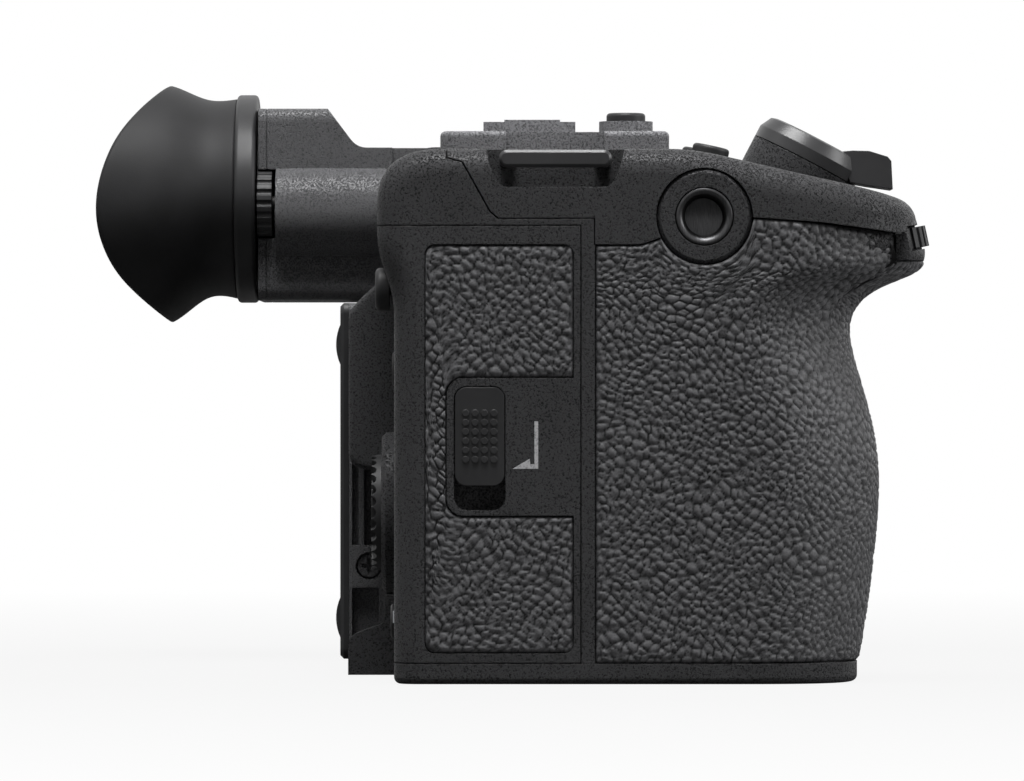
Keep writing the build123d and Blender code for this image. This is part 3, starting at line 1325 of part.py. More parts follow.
with BuildPart() as monitor_panel:
    block(
        monitor_near_x, monitor_far_x, monitor_seam_y, monitor_rear_y, monitor_low_z, monitor_high_z,
    )
    fillet(monitor_panel.edges().filter_by(Axis.Y), 1.5)
    chamfer(monitor_panel.edges().group_by(Axis.Y)[-1], 0.5)
    block(
        monitor_near_x + screen_margin_x, monitor_far_x - screen_margin_x, monitor_rear_y - 0.6,
        monitor_rear_y + 1, monitor_low_z + screen_margin_z, monitor_high_z - screen_margin_z,
        mode=Mode.SUBTRACT,
    )
    for z in bump_zs:
        rod_x(monitor_rear_y + bump_proud - bump_r, z, monitor_near_x + 0.6, monitor_near_x + 3.6, bump_r)
    block(
        monitor_near_x, monitor_far_x, monitor_seam_y, monitor_rear_y + 2, monitor_low_z, monitor_high_z,
        mode=Mode.INTERSECT,
    )
finish(monitor_panel.part, "monitor_panel")

with BuildPart() as monitor_screen:
    block(
        monitor_near_x + screen_margin_x + 0.05, monitor_far_x - screen_margin_x - 0.05,
        monitor_rear_y - 0.6, monitor_rear_y - 0.05, monitor_low_z + screen_margin_z + 0.05,
        monitor_high_z - screen_margin_z - 0.05,
    )
finish(monitor_screen.part, "monitor_screen")

# Zoom lever: bevelled ring with a finger tab, on a fixed turret round the shutter button
lever_axis = Axis(lever_centre, (0, -sin(radians(lever_tilt)), cos(radians(lever_tilt))))
lever_section = Plane(
    origin=lever_centre, x_dir=(1, 0, 0), z_dir=(0, -cos(radians(lever_tilt)), -sin(radians(lever_tilt)))
)
with BuildPart() as zoom_lever:
    with BuildSketch(lever_section):
        with BuildLine():
            Polyline(
                (0, 0), (lever_top_r - 0.6, 0), (lever_top_r, -0.2), (lever_r, -1.8),
                (lever_r, -lever_h + 0.1), (0, -lever_h + 0.1), close=True,
            )
        make_face()
    revolve(axis=lever_axis)
    with BuildSketch(side_on(lever_centre[0] - lever_tab_w / 2)):
        with BuildLine():
            Polyline(
                (-30.6, 73.0), (-32.3, 73.15), (-34.6, 73.1), (-37.2, 72.3), (-37.7, 71.7), (-37.9, 67.8),
                (-34.5, 68.3), (-32.0, 68.75), close=True,
            )
        make_face()
    extrude(amount=lever_tab_w)
    disc_on(leaning(lever_centre, lever_tilt, -10), lever_bore_r, 20, mode=Mode.SUBTRACT)
    disc_on(
        leaning(lever_centre, lever_tilt, -lever_h - 1), turret_spigot_r + 0.06, 1.1 + spigot_h + 0.1,
        mode=Mode.SUBTRACT,
    )
finish(zoom_lever.part, "zoom_lever")

turret_floor = -lever_h - turret_h + 0.05
with BuildPart() as lever_turret:
    disc_on(leaning(lever_centre, lever_tilt, turret_floor), lever_r, turret_h - 0.05)
    disc_on(leaning(lever_centre, lever_tilt, -lever_h - 0.1), turret_spigot_r, spigot_h + 0.1)
    disc_on(leaning(lever_centre, lever_tilt, turret_floor + 1.2), shutter_r + 0.2, 20, mode=Mode.SUBTRACT)
finish(lever_turret.part, "lever_turret")

with BuildPart() as shutter_button:
    disc_on(leaning(lever_centre, lever_tilt, -5.2), shutter_r, 4.9)
    fillet(shutter_button.edges().sort_by(lever_axis)[-1], 0.8)
finish(shutter_button.part, "shutter_button")

# Front dial: knurled wheel on a pin
with BuildPart() as front_dial:
    disc_on(leaning(dial_centre, -dial_tilt, -dial_t / 2), dial_r, dial_t)
    with BuildSketch(leaning(dial_centre, -dial_tilt, -dial_t)) as knurl:
        with PolarLocations(dial_r + 0.1, dial_teeth):
            Rectangle(0.9, 0.7)
    extrude(knurl.sketch, amount=2 * dial_t, mode=Mode.SUBTRACT)
    disc_on(leaning(dial_centre, -dial_tilt, -dial_pin_half), dial_pin_r, 2 * dial_pin_half)
finish(front_dial.part, "front_dial")

# Record button and the two tilted assignable buttons
with BuildPart() as rec_button:
    rod_z(rec_x, rec_y, shoulder_z + 0.2, rec_top_z, rec_r)
    fillet(rec_button.edges().group_by(Axis.Z)[-1], 0.5)
finish(rec_button.part, "rec_button")

for name, centre in zip(("near_top_button", "far_top_button"), reversed(top_button_centres)):
    with BuildPart() as top_button:
        disc_on(leaning(centre, top_button_tilt, button_floor + 0.8), top_button_r, 1.6 - button_floor - 0.8)
        fillet(top_button.edges().sort_by(Axis.Z)[-1], 0.5)
    finish(top_button.part, name)

# Control wheel with its centre button
with BuildPart() as control_wheel:
    rod_y(wheel_x, wheel_z, rear_y + 0.4, wheel_y, wheel_r)
    with Locations(Plane((wheel_x, wheel_y, wheel_z), x_dir=(1, 0, 0), z_dir=(0, 1, 0))):
        with PolarLocations(wheel_r - 0.4, wheel_teeth):
            Cylinder(wheel_tooth_r, 2.4, rotation=(0, 90, 0), mode=Mode.SUBTRACT)
    rod_y(wheel_x, wheel_z, rear_y + 1.6, 50, wheel_button_r + 1.6, mode=Mode.SUBTRACT)
    rod_y(wheel_x, wheel_z, rear_y + 1.0, rear_y + 2.4, wheel_button_r + 0.9)
    rod_y(wheel_x, wheel_z, rear_y - 2.6, rear_y + 1, wheel_spindle_r)
    rod_y(wheel_x, wheel_z, rear_y - 3, 50, 0.9, mode=Mode.SUBTRACT)
    rod_y(wheel_x, wheel_z, rear_y + 1.4, 50, wheel_button_r + 0.2, mode=Mode.SUBTRACT)
finish(control_wheel.part, "control_wheel")

with BuildPart() as wheel_button:
    rod_y(wheel_x, wheel_z, rear_y + 2.0, rear_y + 3.0, wheel_button_r)
    fillet(wheel_button.edges().group_by(Axis.Y)[-1], 0.4)
    rod_y(wheel_x, wheel_z, rear_y - 2.2, rear_y + 2.2, 0.8)
finish(wheel_button.part, "wheel_button")

# Joystick on a small gimbal ring
with BuildPart() as stick_gimbal:
    rod_y(stick_x, stick_z, stick_pivot_y - 0.4, stick_pivot_y + 0.4, 2.1)
    rod_x(stick_pivot_y, stick_z, stick_x - 2.35, stick_x + 2.35, stick_pin_r)
    rod_y(stick_x, stick_z, 0, 50, 1.2, mode=Mode.SUBTRACT)
finish(stick_gimbal.part, "stick_gimbal")

with BuildPart() as joystick:
    rod_y(stick_x, stick_z, 31.6, 33.6, stick_r)
    fillet(joystick.edges().group_by(Axis.Y)[-1], 0.7)
    rod_y(stick_x, stick_z, stick_pivot_y - 0.4, 31.8, 0.8)
    rod_z(stick_x, stick_pivot_y, stick_z - 1.15, stick_z + 1.15, stick_pin_r)
finish(joystick.part, "joystick")

for name, (x, z) in rear_button_places.items():
    with BuildPart() as rear_button:
        rod_y(x, z, rear_y - 1.6, rear_y + 0.6, rear_button_r)
        fillet(rear_button.edges().group_by(Axis.Y)[-1], 0.4)
    finish(rear_button.part, name)

# Thumb rest between the monitor and the rear controls
with BuildPart() as thumb_rest:
    with BuildSketch(side_on(thumb_x0)):
        with BuildLine():
            Line((thumb_seat_y, thumb_low_z), (thumb_y - 3.4, thumb_low_z))
            Spline(
                (thumb_y - 3.4, thumb_low_z), (thumb_y - 0.8, thumb_low_z + 0.7),
                (thumb_y, thumb_low_z + 2.6), tangents=[(1, 0.05), (0, 1)],
            )
            Line((thumb_y, thumb_low_z + 2.6), (thumb_y, thumb_high_z - 5.0))
            Spline(
                (thumb_y, thumb_high_z - 5.0), (thumb_y - 1.1, thumb_high_z - 2.6),
                (thumb_y - 3.9, thumb_high_z), tangents=[(0, 1), (-1, 0.8)],
            )
            Line((thumb_y - 3.9, thumb_high_z), (thumb_seat_y, thumb_high_z))
            Line((thumb_seat_y, thumb_high_z), (thumb_seat_y, thumb_low_z))
        make_face()
    extrude(amount=thumb_x1 - thumb_x0)
    fillet(thumb_rest.edges().group_by(Axis.X)[0].filter_by(lambda e: e.center().Y > rear_y + 1), 0.8)
finish(thumb_rest.part, "thumb_rest")
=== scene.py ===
import json
import math

import bpy
import numpy as np
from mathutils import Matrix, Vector


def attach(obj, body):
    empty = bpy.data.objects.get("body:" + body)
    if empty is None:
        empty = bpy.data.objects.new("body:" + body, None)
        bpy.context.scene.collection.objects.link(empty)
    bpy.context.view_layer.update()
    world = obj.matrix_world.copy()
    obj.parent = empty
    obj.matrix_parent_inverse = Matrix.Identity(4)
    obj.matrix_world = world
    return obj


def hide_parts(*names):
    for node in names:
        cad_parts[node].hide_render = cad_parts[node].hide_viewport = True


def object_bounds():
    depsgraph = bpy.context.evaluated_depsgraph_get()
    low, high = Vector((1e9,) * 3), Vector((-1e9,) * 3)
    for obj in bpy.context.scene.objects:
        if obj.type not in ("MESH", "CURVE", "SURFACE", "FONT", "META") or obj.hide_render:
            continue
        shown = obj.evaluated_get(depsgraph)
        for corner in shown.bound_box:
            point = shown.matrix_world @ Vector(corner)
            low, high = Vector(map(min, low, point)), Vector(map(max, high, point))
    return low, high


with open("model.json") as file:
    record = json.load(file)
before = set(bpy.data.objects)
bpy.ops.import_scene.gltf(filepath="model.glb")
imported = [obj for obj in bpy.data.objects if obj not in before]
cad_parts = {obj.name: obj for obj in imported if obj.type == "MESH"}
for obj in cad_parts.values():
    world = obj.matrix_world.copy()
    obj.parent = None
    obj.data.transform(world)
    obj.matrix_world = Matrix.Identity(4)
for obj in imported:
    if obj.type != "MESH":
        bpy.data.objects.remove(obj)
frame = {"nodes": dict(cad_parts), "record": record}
cad_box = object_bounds()
nodes = frame["nodes"]
MM = 0.001


# Finishes

class Finish:
    """A material with one Principled shader, and short ways to add the nodes that vary it."""

    def __init__(self, name, colour, roughness, metallic=0.0, specular=0.5):
        self.material = bpy.data.materials.new(name)
        self.material.use_nodes = True
        self.tree = self.material.node_tree
        self.shader = self.tree.nodes["Principled BSDF"]
        self.shader.inputs["Base Color"].default_value = (*colour, 1.0)
        self.shader.inputs["Roughness"].default_value = roughness
        self.shader.inputs["Metallic"].default_value = metallic
        self.shader.inputs["Specular IOR Level"].default_value = specular
        self.place = self.node("ShaderNodeTexCoord").outputs["Object"]

    def node(self, kind, **inputs):
        """New node of that kind; each input is linked if it is given a socket and else set to the value."""
        made = self.tree.nodes.new(kind)
        for name, value in inputs.items():
            socket = made.inputs[name.replace("_", " ")]
            if isinstance(value, bpy.types.NodeSocket):
                self.tree.links.new(value, socket)
            else:
                socket.default_value = value
        return made

    def noise(self, size_mm, detail=2.0, roughness=0.5, stretch=(1, 1, 1), distortion=0.0):
        """Cloudy noise whose blobs are about size_mm across, drawn out along the stretched axes."""
        place = self.place
        if tuple(stretch) != (1, 1, 1):
            turned = self.node("ShaderNodeMapping", Vector=place)
            turned.inputs["Scale"].default_value = stretch
            place = turned.outputs["Vector"]
        made = self.node(
            "ShaderNodeTexNoise", Vector=place, Scale=1 / (size_mm * MM), Detail=detail,
            Roughness=roughness, Distortion=distortion,
        )
        return made.outputs["Fac"]

    def cell_edges(self, size_mm):
        """Distance from the edges of cells about size_mm across."""
        made = self.tree.nodes.new("ShaderNodeTexVoronoi")
        made.feature = "DISTANCE_TO_EDGE"
        self.tree.links.new(self.place, made.inputs["Vector"])
        made.inputs["Scale"].default_value = 1 / (size_mm * MM)
        return made.outputs["Distance"]

    def span(self, value, low, high, out_low=0.0, out_high=1.0):
        """value between low and high, mapped to out_low..out_high and held there."""
        made = self.node("ShaderNodeMapRange", Value=value)
        for name, number in zip(("From Min", "From Max", "To Min", "To Max"), (low, high, out_low, out_high)):
            made.inputs[name].default_value = number
        return made.outputs["Result"]

    def sum(self, first, second, share=1.0):
        """first plus share times second."""
        made = self.tree.nodes.new("ShaderNodeMath")
        made.operation = "MULTIPLY_ADD"
        self.tree.links.new(second, made.inputs[0])
        made.inputs[1].default_value = share
        self.tree.links.new(first, made.inputs[2])
        return made.outputs[0]

    def tint(self, factor, dark, light):
        """The base colour runs from dark to light as factor goes from 0 to 1."""
        made = self.tree.nodes.new("ShaderNodeMix")
        made.data_type = "RGBA"
        self.tree.links.new(factor, made.inputs["Factor"])
        made.inputs["A"].default_value = (*dark, 1.0)
        made.inputs["B"].default_value = (*light, 1.0)
        self.tree.links.new(made.outputs["Result"], self.shader.inputs["Base Color"])

    def rough(self, factor, low, high):
        """The roughness runs from low to high as factor goes from 0 to 1."""
        self.tree.links.new(self.span(factor, 0.0, 1.0, low, high), self.shader.inputs["Roughness"])

    def relief(self, height, depth_mm, round_mm=0.0):
        """Bump of depth_mm, over edges that the light sees rounded by round_mm."""
        made = self.node("ShaderNodeBump", Height=height, Distance=depth_mm * MM, Strength=1.0)
        if round_mm:
            rounded = self.node("ShaderNodeBevel", Radius=round_mm * MM)
            rounded.samples = 6
            self.tree.links.new(rounded.outputs["Normal"], made.inputs["Normal"])
        self.tree.links.new(made.outputs["Normal"], self.shader.inputs["Normal"])


def grey(value):
    """A faintly cool grey."""
    return (value, value, value * 1.04)


def wrinkle_paint(name, dark, light, grain_mm=0.28, depth=0.12, rough=(0.36, 0.62), specular=0.08):
    """Baked wrinkle paint: small irregular lands that catch the light, with painted shade darkening the pits
    between them.
    """
    made = Finish(name, light, rough[0], specular=specular)
    lands = made.noise(grain_mm, 4.0, 0.62, distortion=0.5)
    pits = made.span(lands, 0.38, 0.52)
    cloud = made.span(made.noise(12.0, 2.0), 0.3, 0.7, -0.15, 0.15)
    # Painted shade: the colour darkens in the bump's pits, on top of a random cloudy tone.
    made.tint(made.sum(pits, cloud), dark, light)
    made.rough(pits, rough[1], rough[0])
    made.relief(pits, depth, 0.22)
    return made.material


def smooth_plastic(name, dark, light, rough=(0.36, 0.5), grain_mm=0.12, depth=0.008, specular=0.2):
    """Spark-eroded moulded plastic: a very fine even grain and faint cloudy wear."""
    made = Finish(name, light, rough[0], specular=specular)
    fine = made.noise(grain_mm, 2.0, 0.6)
    cloud = made.span(made.noise(9.0, 3.0), 0.3, 0.7)
    made.tint(cloud, dark, light)
    made.rough(made.sum(cloud, fine, 0.3), rough[0], rough[1])
    made.relief(fine, depth, 0.18)
    return made.material


def grain_leather(name, dark, light):
    """Leather grain: the pebbles are in the mesh, and their depth darkens them towards the creases as painted
    shade; pores come on top, their low spots also darkened as painted shade.
    """
    made = Finish(name, light, 0.5, specular=0.2)
    depth = made.node("ShaderNodeAttribute")
    depth.attribute_name = "grain"
    height = depth.outputs["Fac"]
    pores = made.noise(0.3, 3.0, 0.65)
    # Painted shade: the colour darkens with the pebbles' depth into the creases and with the pores' bump.
    made.tint(made.sum(height, made.span(pores, 0.3, 0.7, -0.25, 0.1)), dark, light)
    made.rough(height, 0.6, 0.34)
    made.relief(pores, 0.09)
    return made.material


def turned_steel(name, dark, light, rough=(0.22, 0.38)):
    """Machined metal with fine tool marks that lie close along Y."""
    made = Finish(name, light, rough[0], metallic=1.0)
    marks = made.noise(0.5, 3.0, 0.6, stretch=(0.4, 9.0, 0.4))
    made.tint(made.span(marks, 0.3, 0.7), dark, light)
    made.rough(marks, rough[0], rough[1])
    made.relief(marks, 0.004, 0.1)
    return made.material


def clear_glass(name, colour, rough=0.03):
    """Coated dark glass with a faint smear."""
    made = Finish(name, colour, rough, specular=0.8)
    smear = made.noise(6.0, 3.0, 0.6)
    made.rough(made.span(smear, 0.45, 0.75), rough, rough + 0.06)
    made.shader.inputs["Coat Weight"].default_value = 1.0
    made.shader.inputs["Coat Roughness"].default_value = 0.02
    return made.material


def laminate(name):
    """Green-black circuit board with faint traces."""
    made = Finish(name, (0.006, 0.03, 0.016), 0.4)
    trace = made.cell_edges(2.2)
    made.tint(made.span(trace, 0.02, 0.06), (0.02, 0.08, 0.04), (0.006, 0.028, 0.014))
    made.relief(trace, 0.02)
    return made.material


def printed_ink(name):
    """Pale printing ink, thin in places."""
    made = Finish(name, (0.42, 0.42, 0.43), 0.5)
    worn = made.span(made.noise(0.3, 3.0, 0.6), 0.3, 0.55)
    made.tint(worn, (0.22, 0.22, 0.23), (0.5, 0.5, 0.51))
    made.rough(worn, 0.6, 0.45)
    made.relief(worn, 0.01)
    return made.material


slots = {
    "casing_paint": wrinkle_paint("casing_paint", grey(0.013), grey(0.052)),
    # The deck takes the casing's wrinkle paint made several times lighter: that lightness is a painted sheen
    # standing in for the top light on the deck.
    "deck_paint": wrinkle_paint("deck_paint", grey(0.12), grey(0.24), rough=(0.34, 0.5)),
    "grip_leather": grain_leather("grip_leather", grey(0.020), grey(0.125)),
    "control_plastic": smooth_plastic("control_plastic", grey(0.018), grey(0.028)),
    "lever_metal": smooth_plastic("lever_metal", grey(0.026), grey(0.040), rough=(0.26, 0.38), specular=0.3),
    "viewfinder_paint": wrinkle_paint(
        "viewfinder_paint", grey(0.056), grey(0.105), grain_mm=0.24, depth=0.09, rough=(0.34, 0.5),
        specular=0.16),
    "eyecup_rubber": smooth_plastic(
        "eyecup_rubber", grey(0.014), grey(0.022), rough=(0.5, 0.6), grain_mm=0.2, depth=0.012, specular=0.12),
    "optic_glass": clear_glass("optic_glass", (0.004, 0.006, 0.012)),
    "screen_glass": clear_glass("screen_glass", (0.006, 0.006, 0.007), 0.06),
    "mount_steel": turned_steel("mount_steel", (0.42, 0.42, 0.44), (0.6, 0.6, 0.62)),
    # The inserts' steel is kept very dark; part of that darkness is painted shade, keeping the bore and its
    # floor dark.
    "thread_steel": turned_steel("thread_steel", (0.03, 0.03, 0.031), (0.07, 0.07, 0.072), (0.3, 0.42)),
    "screw_steel": turned_steel("screw_steel", (0.03, 0.03, 0.032), (0.06, 0.06, 0.062), (0.3, 0.45)),
    "chassis_metal": turned_steel("chassis_metal", (0.25, 0.26, 0.28), (0.4, 0.41, 0.43), (0.35, 0.5)),
    "contact_gold": turned_steel("contact_gold", (0.75, 0.5, 0.2), (0.9, 0.65, 0.3)),
    "inner_plastic": smooth_plastic("inner_plastic", grey(0.010), grey(0.016), rough=(0.5, 0.65)),
    "battery_plastic": smooth_plastic("battery_plastic", grey(0.05), grey(0.07)),
    "board_laminate": laminate("board_laminate"),
    "card_plastic": smooth_plastic("card_plastic", grey(0.02), grey(0.035)),
}

for row in frame["record"]["subparts"]:
    skin = nodes[row["node"]].data.materials
    skin.clear()
    skin.append(slots[row["material_slot"]])


# Surfaces

def add_piece(name, points, faces, material, body, grain=None):
    """Mesh object from an array of points in millimetres and lists of faces, smooth shaded, on its body."""
    mesh = bpy.data.meshes.new(name)
    mesh.from_pydata((points * MM).tolist(), [], faces)
    mesh.polygons.foreach_set("use_smooth", np.ones(len(mesh.polygons), dtype=bool))
    if grain is not None:
        mesh.attributes.new("grain", "FLOAT", "POINT").data.foreach_set("value", grain)
    mesh.materials.append(material)
    mesh.update()
    made = bpy.data.objects.new(name, mesh)
    bpy.context.scene.collection.objects.link(made)
    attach(made, body)
    return made


def grid_faces(rows, columns, closed=False):
    """Quads of a grid numbered row by row; a closed grid's last column joins its first."""
    i = np.arange(rows - 1)[:, None]
    j = np.arange(columns if closed else columns - 1)[None, :]
    k = (j + 1) % columns
    corners = [i * columns + j, i * columns + k, (i + 1) * columns + k, (i + 1) * columns + j]
    return np.stack([np.broadcast_to(c, (rows - 1, j.shape[1])) for c in corners], axis=-1).reshape(-1, 4)


def scatter(cells, seed):
    """Two even random numbers in 0..1 for each whole-number cell, always the same for one cell."""
    mixed = cells @ np.array([[12.71, 26.95], [31.17, 18.33]]) + seed
    return np.modf(np.abs(np.sin(mixed)) * 4375.85453)[0]


def cells_round(places, size, seed):
    """Distances of each point of a plane from its nearest seed and from its second nearest, in cell sizes;
    each cell of a square grid has one seed, which strays from its middle."""
    p = places / size
    base = np.floor(p)
    first = np.full(len(p), 9.0)
    second = np.full(len(p), 9.0)
    for step in np.ndindex(3, 3):
        cell = base + np.array(step) - 1
        away = np.linalg.norm(cell + 0.1 + 0.8 * scatter(cell, seed) - p, axis=1)
        second = np.minimum(second, np.maximum(first, away))
        first = np.minimum(first, away)
    return first, second


def ease(x):
    """0 below 0, 1 above 1, and a smooth step between them."""
    x = np.clip(x, 0.0, 1.0)
    return x * x * (3 - 2 * x)


def pebbles(places):
    """Height from 0 to 1 of leather grain over the sheet's own plane: low domes, 1 less the squared distance
    from the nearest seed, parted by creases, each the root of the way to the second nearest seed; longer
    creases run down a slant. The points first sway in slow waves, so that no row of cells runs straight."""
    u, v = places.T
    swayed = places + 0.45 * np.stack([
        np.sin(0.50 * v + 0.3 * u) + np.sin(0.21 * v - 0.3 * u),
        np.sin(0.4 * u - 0.3 * v) + np.sin(0.17 * u + 0.3 * v),
    ], axis=1)
    slant = np.array([[0.8, 0.6], [-0.6, 0.8]])
    drawn = swayed @ slant
    near, next_near = cells_round(drawn * np.array([0.86, 1.1]), 1.12, 3.0)
    dome = 0.6 + 0.4 * np.clip(1 - near ** 2 / 0.5, 0.0, 1.0)
    crease = np.sqrt(ease((next_near - near) / 0.24))
    near, next_near = cells_round(drawn * np.array([0.45, 1.25]), 2.6, 11.0)
    return dome * crease * (0.6 + 0.4 * ease((next_near - near) / 0.16))


def normals_of(sheet):
    """Unit normals of a grid of points, from the cross product of its two directions."""
    along = np.gradient(sheet, axis=0)
    across = np.gradient(sheet, axis=1)
    n = np.cross(across, along)
    return n / np.maximum(np.linalg.norm(n, axis=2, keepdims=True), 1e-9)


def leather_sheet(name, sheet, places, thick, body, node):
    """Closed sheet of leather over a grid of points. Its places, in the sheet's own plane, set the pebbles
    that raise it along its normals; its edges turn in over the thickness, and a grid four times as coarse
    closes it underneath."""
    relief, middle, edge_drop, step = 0.38, 0.75, 0.25, 4
    rows, columns, _ = sheet.shape
    normal = normals_of(sheet)
    grain = pebbles(places.reshape(-1, 2)).reshape(rows, columns)
    row_edge = np.minimum(np.arange(rows), np.arange(rows)[::-1])[:, None]
    column_edge = np.minimum(np.arange(columns), np.arange(columns)[::-1])[None, :]
    fade = ease(np.minimum(row_edge, column_edge) / 2.0)
    top = sheet + normal * ((grain - middle) * relief * fade - edge_drop * (1 - fade))[..., None]
    under = sheet - normal * thick
    ring = np.concatenate([
        np.arange(columns - 1), np.arange(rows - 1) * columns + columns - 1,
        rows * columns - 1 - np.arange(columns - 1), (rows - 1 - np.arange(rows - 1)) * columns,
    ])
    count = rows * columns
    number = np.arange(count).reshape(rows, columns)
    faces = grid_faces(rows, columns).tolist()
    after = np.roll(ring, -1)
    faces += np.stack([after, ring, ring + count, after + count], axis=1).tolist()
    for i in range(0, rows - 1, step):
        for j in range(0, columns - 1, step):
            i1, j1 = i + step, j + step
            left = number[i:i1 + 1, j] if j == 0 else number[[i, i1], j]
            right = number[i:i1 + 1, j1] if j1 == columns - 1 else number[[i, i1], j1]
            low = number[i, j:j1 + 1] if i == 0 else number[i, [j, j1]]
            high = number[i1, j:j1 + 1] if i1 == rows - 1 else number[i1, [j, j1]]
            loop = np.concatenate([left[:-1], high[:-1], right[::-1][:-1], low[::-1][:-1]])
            faces.append((loop + count).tolist())
    points = np.concatenate([top.reshape(-1, 3), under.reshape(-1, 3)])
    used = np.unique(np.concatenate([np.ravel(face) for face in faces]))
    renumber = np.zeros(2 * count, dtype=int)
    renumber[used] = np.arange(len(used))
    faces = [renumber[face].tolist() for face in faces]
    # The pebble height goes to the mesh as the grain attribute; the leather uses it for painted shade in the
    # creases.
    shade = np.concatenate([grain.ravel(), np.zeros(count)])[used]
    made = add_piece(name, points[used], faces, slots["grip_leather"], body, shade)
    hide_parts(node)


# Leather of the handgrip

def spline_through(x, y, at):
    """Natural cubic spline through the points (x, y), read at the places in at."""
    h = np.diff(x)
    n = len(x)
    bend = np.diag(np.r_[1.0, 2 * (h[:-1] + h[1:]), 1.0])
    bend[np.arange(1, n - 1), np.arange(0, n - 2)] = h[:-1]
    bend[np.arange(1, n - 1), np.arange(2, n)] = h[1:]
    rate = np.diff(y) / h
    curve = np.linalg.solve(bend, np.r_[0.0, 6 * np.diff(rate), 0.0])
    k = np.clip(np.searchsorted(x, at) - 1, 0, n - 2)
    low, high = at - x[k], x[k + 1] - at
    return (
        (curve[k] * high ** 3 + curve[k + 1] * low ** 3) / (6 * h[k])
        + (y[k] / h[k] - curve[k] * h[k] / 6) * high
        + (y[k + 1] / h[k] - curve[k + 1] * h[k] / 6) * low
    )


def swing(start, end, leave, arrive, share):
    """Cubic from start to end that leaves along leave and arrives along arrive, at share of its way."""
    t = share[..., None]
    reach = np.linalg.norm(end - start, axis=-1, keepdims=True)
    return (
        (2 * t ** 3 - 3 * t ** 2 + 1) * start + (t ** 3 - 2 * t ** 2 + t) * reach * leave
        + (3 * t ** 2 - 2 * t ** 3) * end + (t ** 3 - t ** 2) * reach * arrive
    )


grip_heights = np.r_[np.arange(0.0, 46.0, 5.0), 49.5, 52.6, 54.6, 56.2, 58.7, 63.0, 67.0, 74.0]
grip_reaches = -np.array([
    32.6, 33.5, 34.3, 34.95, 35.5, 35.85, 35.8, 35.1, 33.8,
    32.4, 32.0, 33.8, 37.0, 40.8, 42.4, 41.3, 40.2, 37.0,
])
grip_depths = np.r_[np.full(10, 15.0), 15.2, 16.0, 17.3, 18.8, 19.5, 18.6, 18.0, 17.0]
grip_rear_y, grip_low_z, squeeze_z, crown_z = 3.25, 2.95, 46.0, 62.3
near_x, inner_x, front_face_y = -73.0, -34.5, -11.5
side_thread_z = 63.7


def grip_line(z, way):
    """Plan of the handgrip at height z: way runs from 0 at the rear of the near side, round the front,
    to 5 behind the front on the lens side, with a straight run, a curve, a straight run and two curves."""
    z, way = np.broadcast_arrays(z, way)
    reach = spline_through(grip_heights, grip_reaches, z)
    depth = spline_through(grip_heights, grip_depths, z)
    narrow = 0.6 * (depth - 15.0)

    def spot(x, y):
        return np.stack(np.broadcast_arrays(x + 0 * z, y + 0 * z), axis=-1)

    rear, side = spot(near_x, grip_rear_y), spot(near_x, reach + depth)
    front0, front1 = spot(-57.0 + narrow, reach), spot(-46.0 - narrow, reach)
    flank, inner = spot(inner_x - 2.5, reach + depth - 3.5), spot(inner_x, front_face_y + 5.5)
    turn = (inner - front1) / np.linalg.norm(inner - front1, axis=-1, keepdims=True)
    part = np.clip(way[..., None] - np.arange(5), 0.0, 1.0)
    runs = [
        side + (rear - side) * (1 - part[..., 0, None]),
        swing(side, front0, np.array([0.0, -1.0]), np.array([1.0, 0.0]), part[..., 1]),
        front0 + (front1 - front0) * part[..., 2, None],
        swing(front1, flank, np.array([1.0, 0.0]), turn, part[..., 3]),
        swing(flank, inner, turn, np.array([0.1, 1.0]), part[..., 4]),
    ]
    index = np.clip(np.floor(way), 0, 4).astype(int)
    return np.choose(index[..., None], runs)


def skin_top(x, y):
    """Height of the skin's upper edge: a gap under the top cover's parting line, lower round the thread's
    boss by the circle's own height, and level below the front dial."""
    gap, boss_radius, dial_edge_z = 0.17, 6.62, 57.9
    line_y = [-50.0, -37.8, -27.8, -18.0, -8.0, -2.7, 3.4]
    line_z = [62.5, 61.6, 62.9, 63.6, 61.6, 59.9, 59.9]
    edge = np.interp(y, line_y, line_z) - gap
    inside = np.clip(boss_radius ** 2 - (y - front_face_y) ** 2, 0.0, None)
    edge = np.where((inside > 0) & (x < -70), np.minimum(edge, side_thread_z - np.sqrt(inside)), edge)
    return np.where((x > -65.5) & (x < -47.5) & (y < -37.9), dial_edge_z, edge)


ways = np.r_[
    np.linspace(0, 1, 101)[:-1], np.linspace(1, 2, 109)[:-1], np.linspace(2, 3, 41)[:-1],
    np.linspace(3, 4, 57)[:-1], np.linspace(4, 4.5, 21),
]
upper = np.full(len(ways), 60.0)
for _ in range(6):
    crest_points = grip_line(upper, ways)
    upper = skin_top(crest_points[:, 0], crest_points[:, 1])
lifts = np.linspace(grip_low_z, crown_z, 800)
swell = 0.6 * np.diff(spline_through(grip_heights, grip_reaches, lifts))
climb = np.r_[0.0, np.cumsum(np.hypot(np.diff(lifts), swell))]
levels = np.interp(np.linspace(0, climb[-1], 253), climb, lifts)[:, None]
squeezed = squeeze_z + (levels - squeeze_z) * (upper[None, :] - squeeze_z) / (crown_z - squeeze_z)
heights = np.where(levels < squeeze_z, levels, squeezed)
plan_points = grip_line(heights, ways[None, :])
strides = np.linalg.norm(np.diff(plan_points, axis=1), axis=2)
round_way = np.concatenate([np.zeros((len(levels), 1)), np.cumsum(strides, axis=1)], axis=1)
leather_sheet(
    "grip_leather_skin", np.dstack([plan_points[..., 0], plan_points[..., 1], heights]),
    np.dstack([round_way, np.interp(heights, lifts, climb)]), 1.3, "body", "grip_skin")


# Leather inlay of the card door

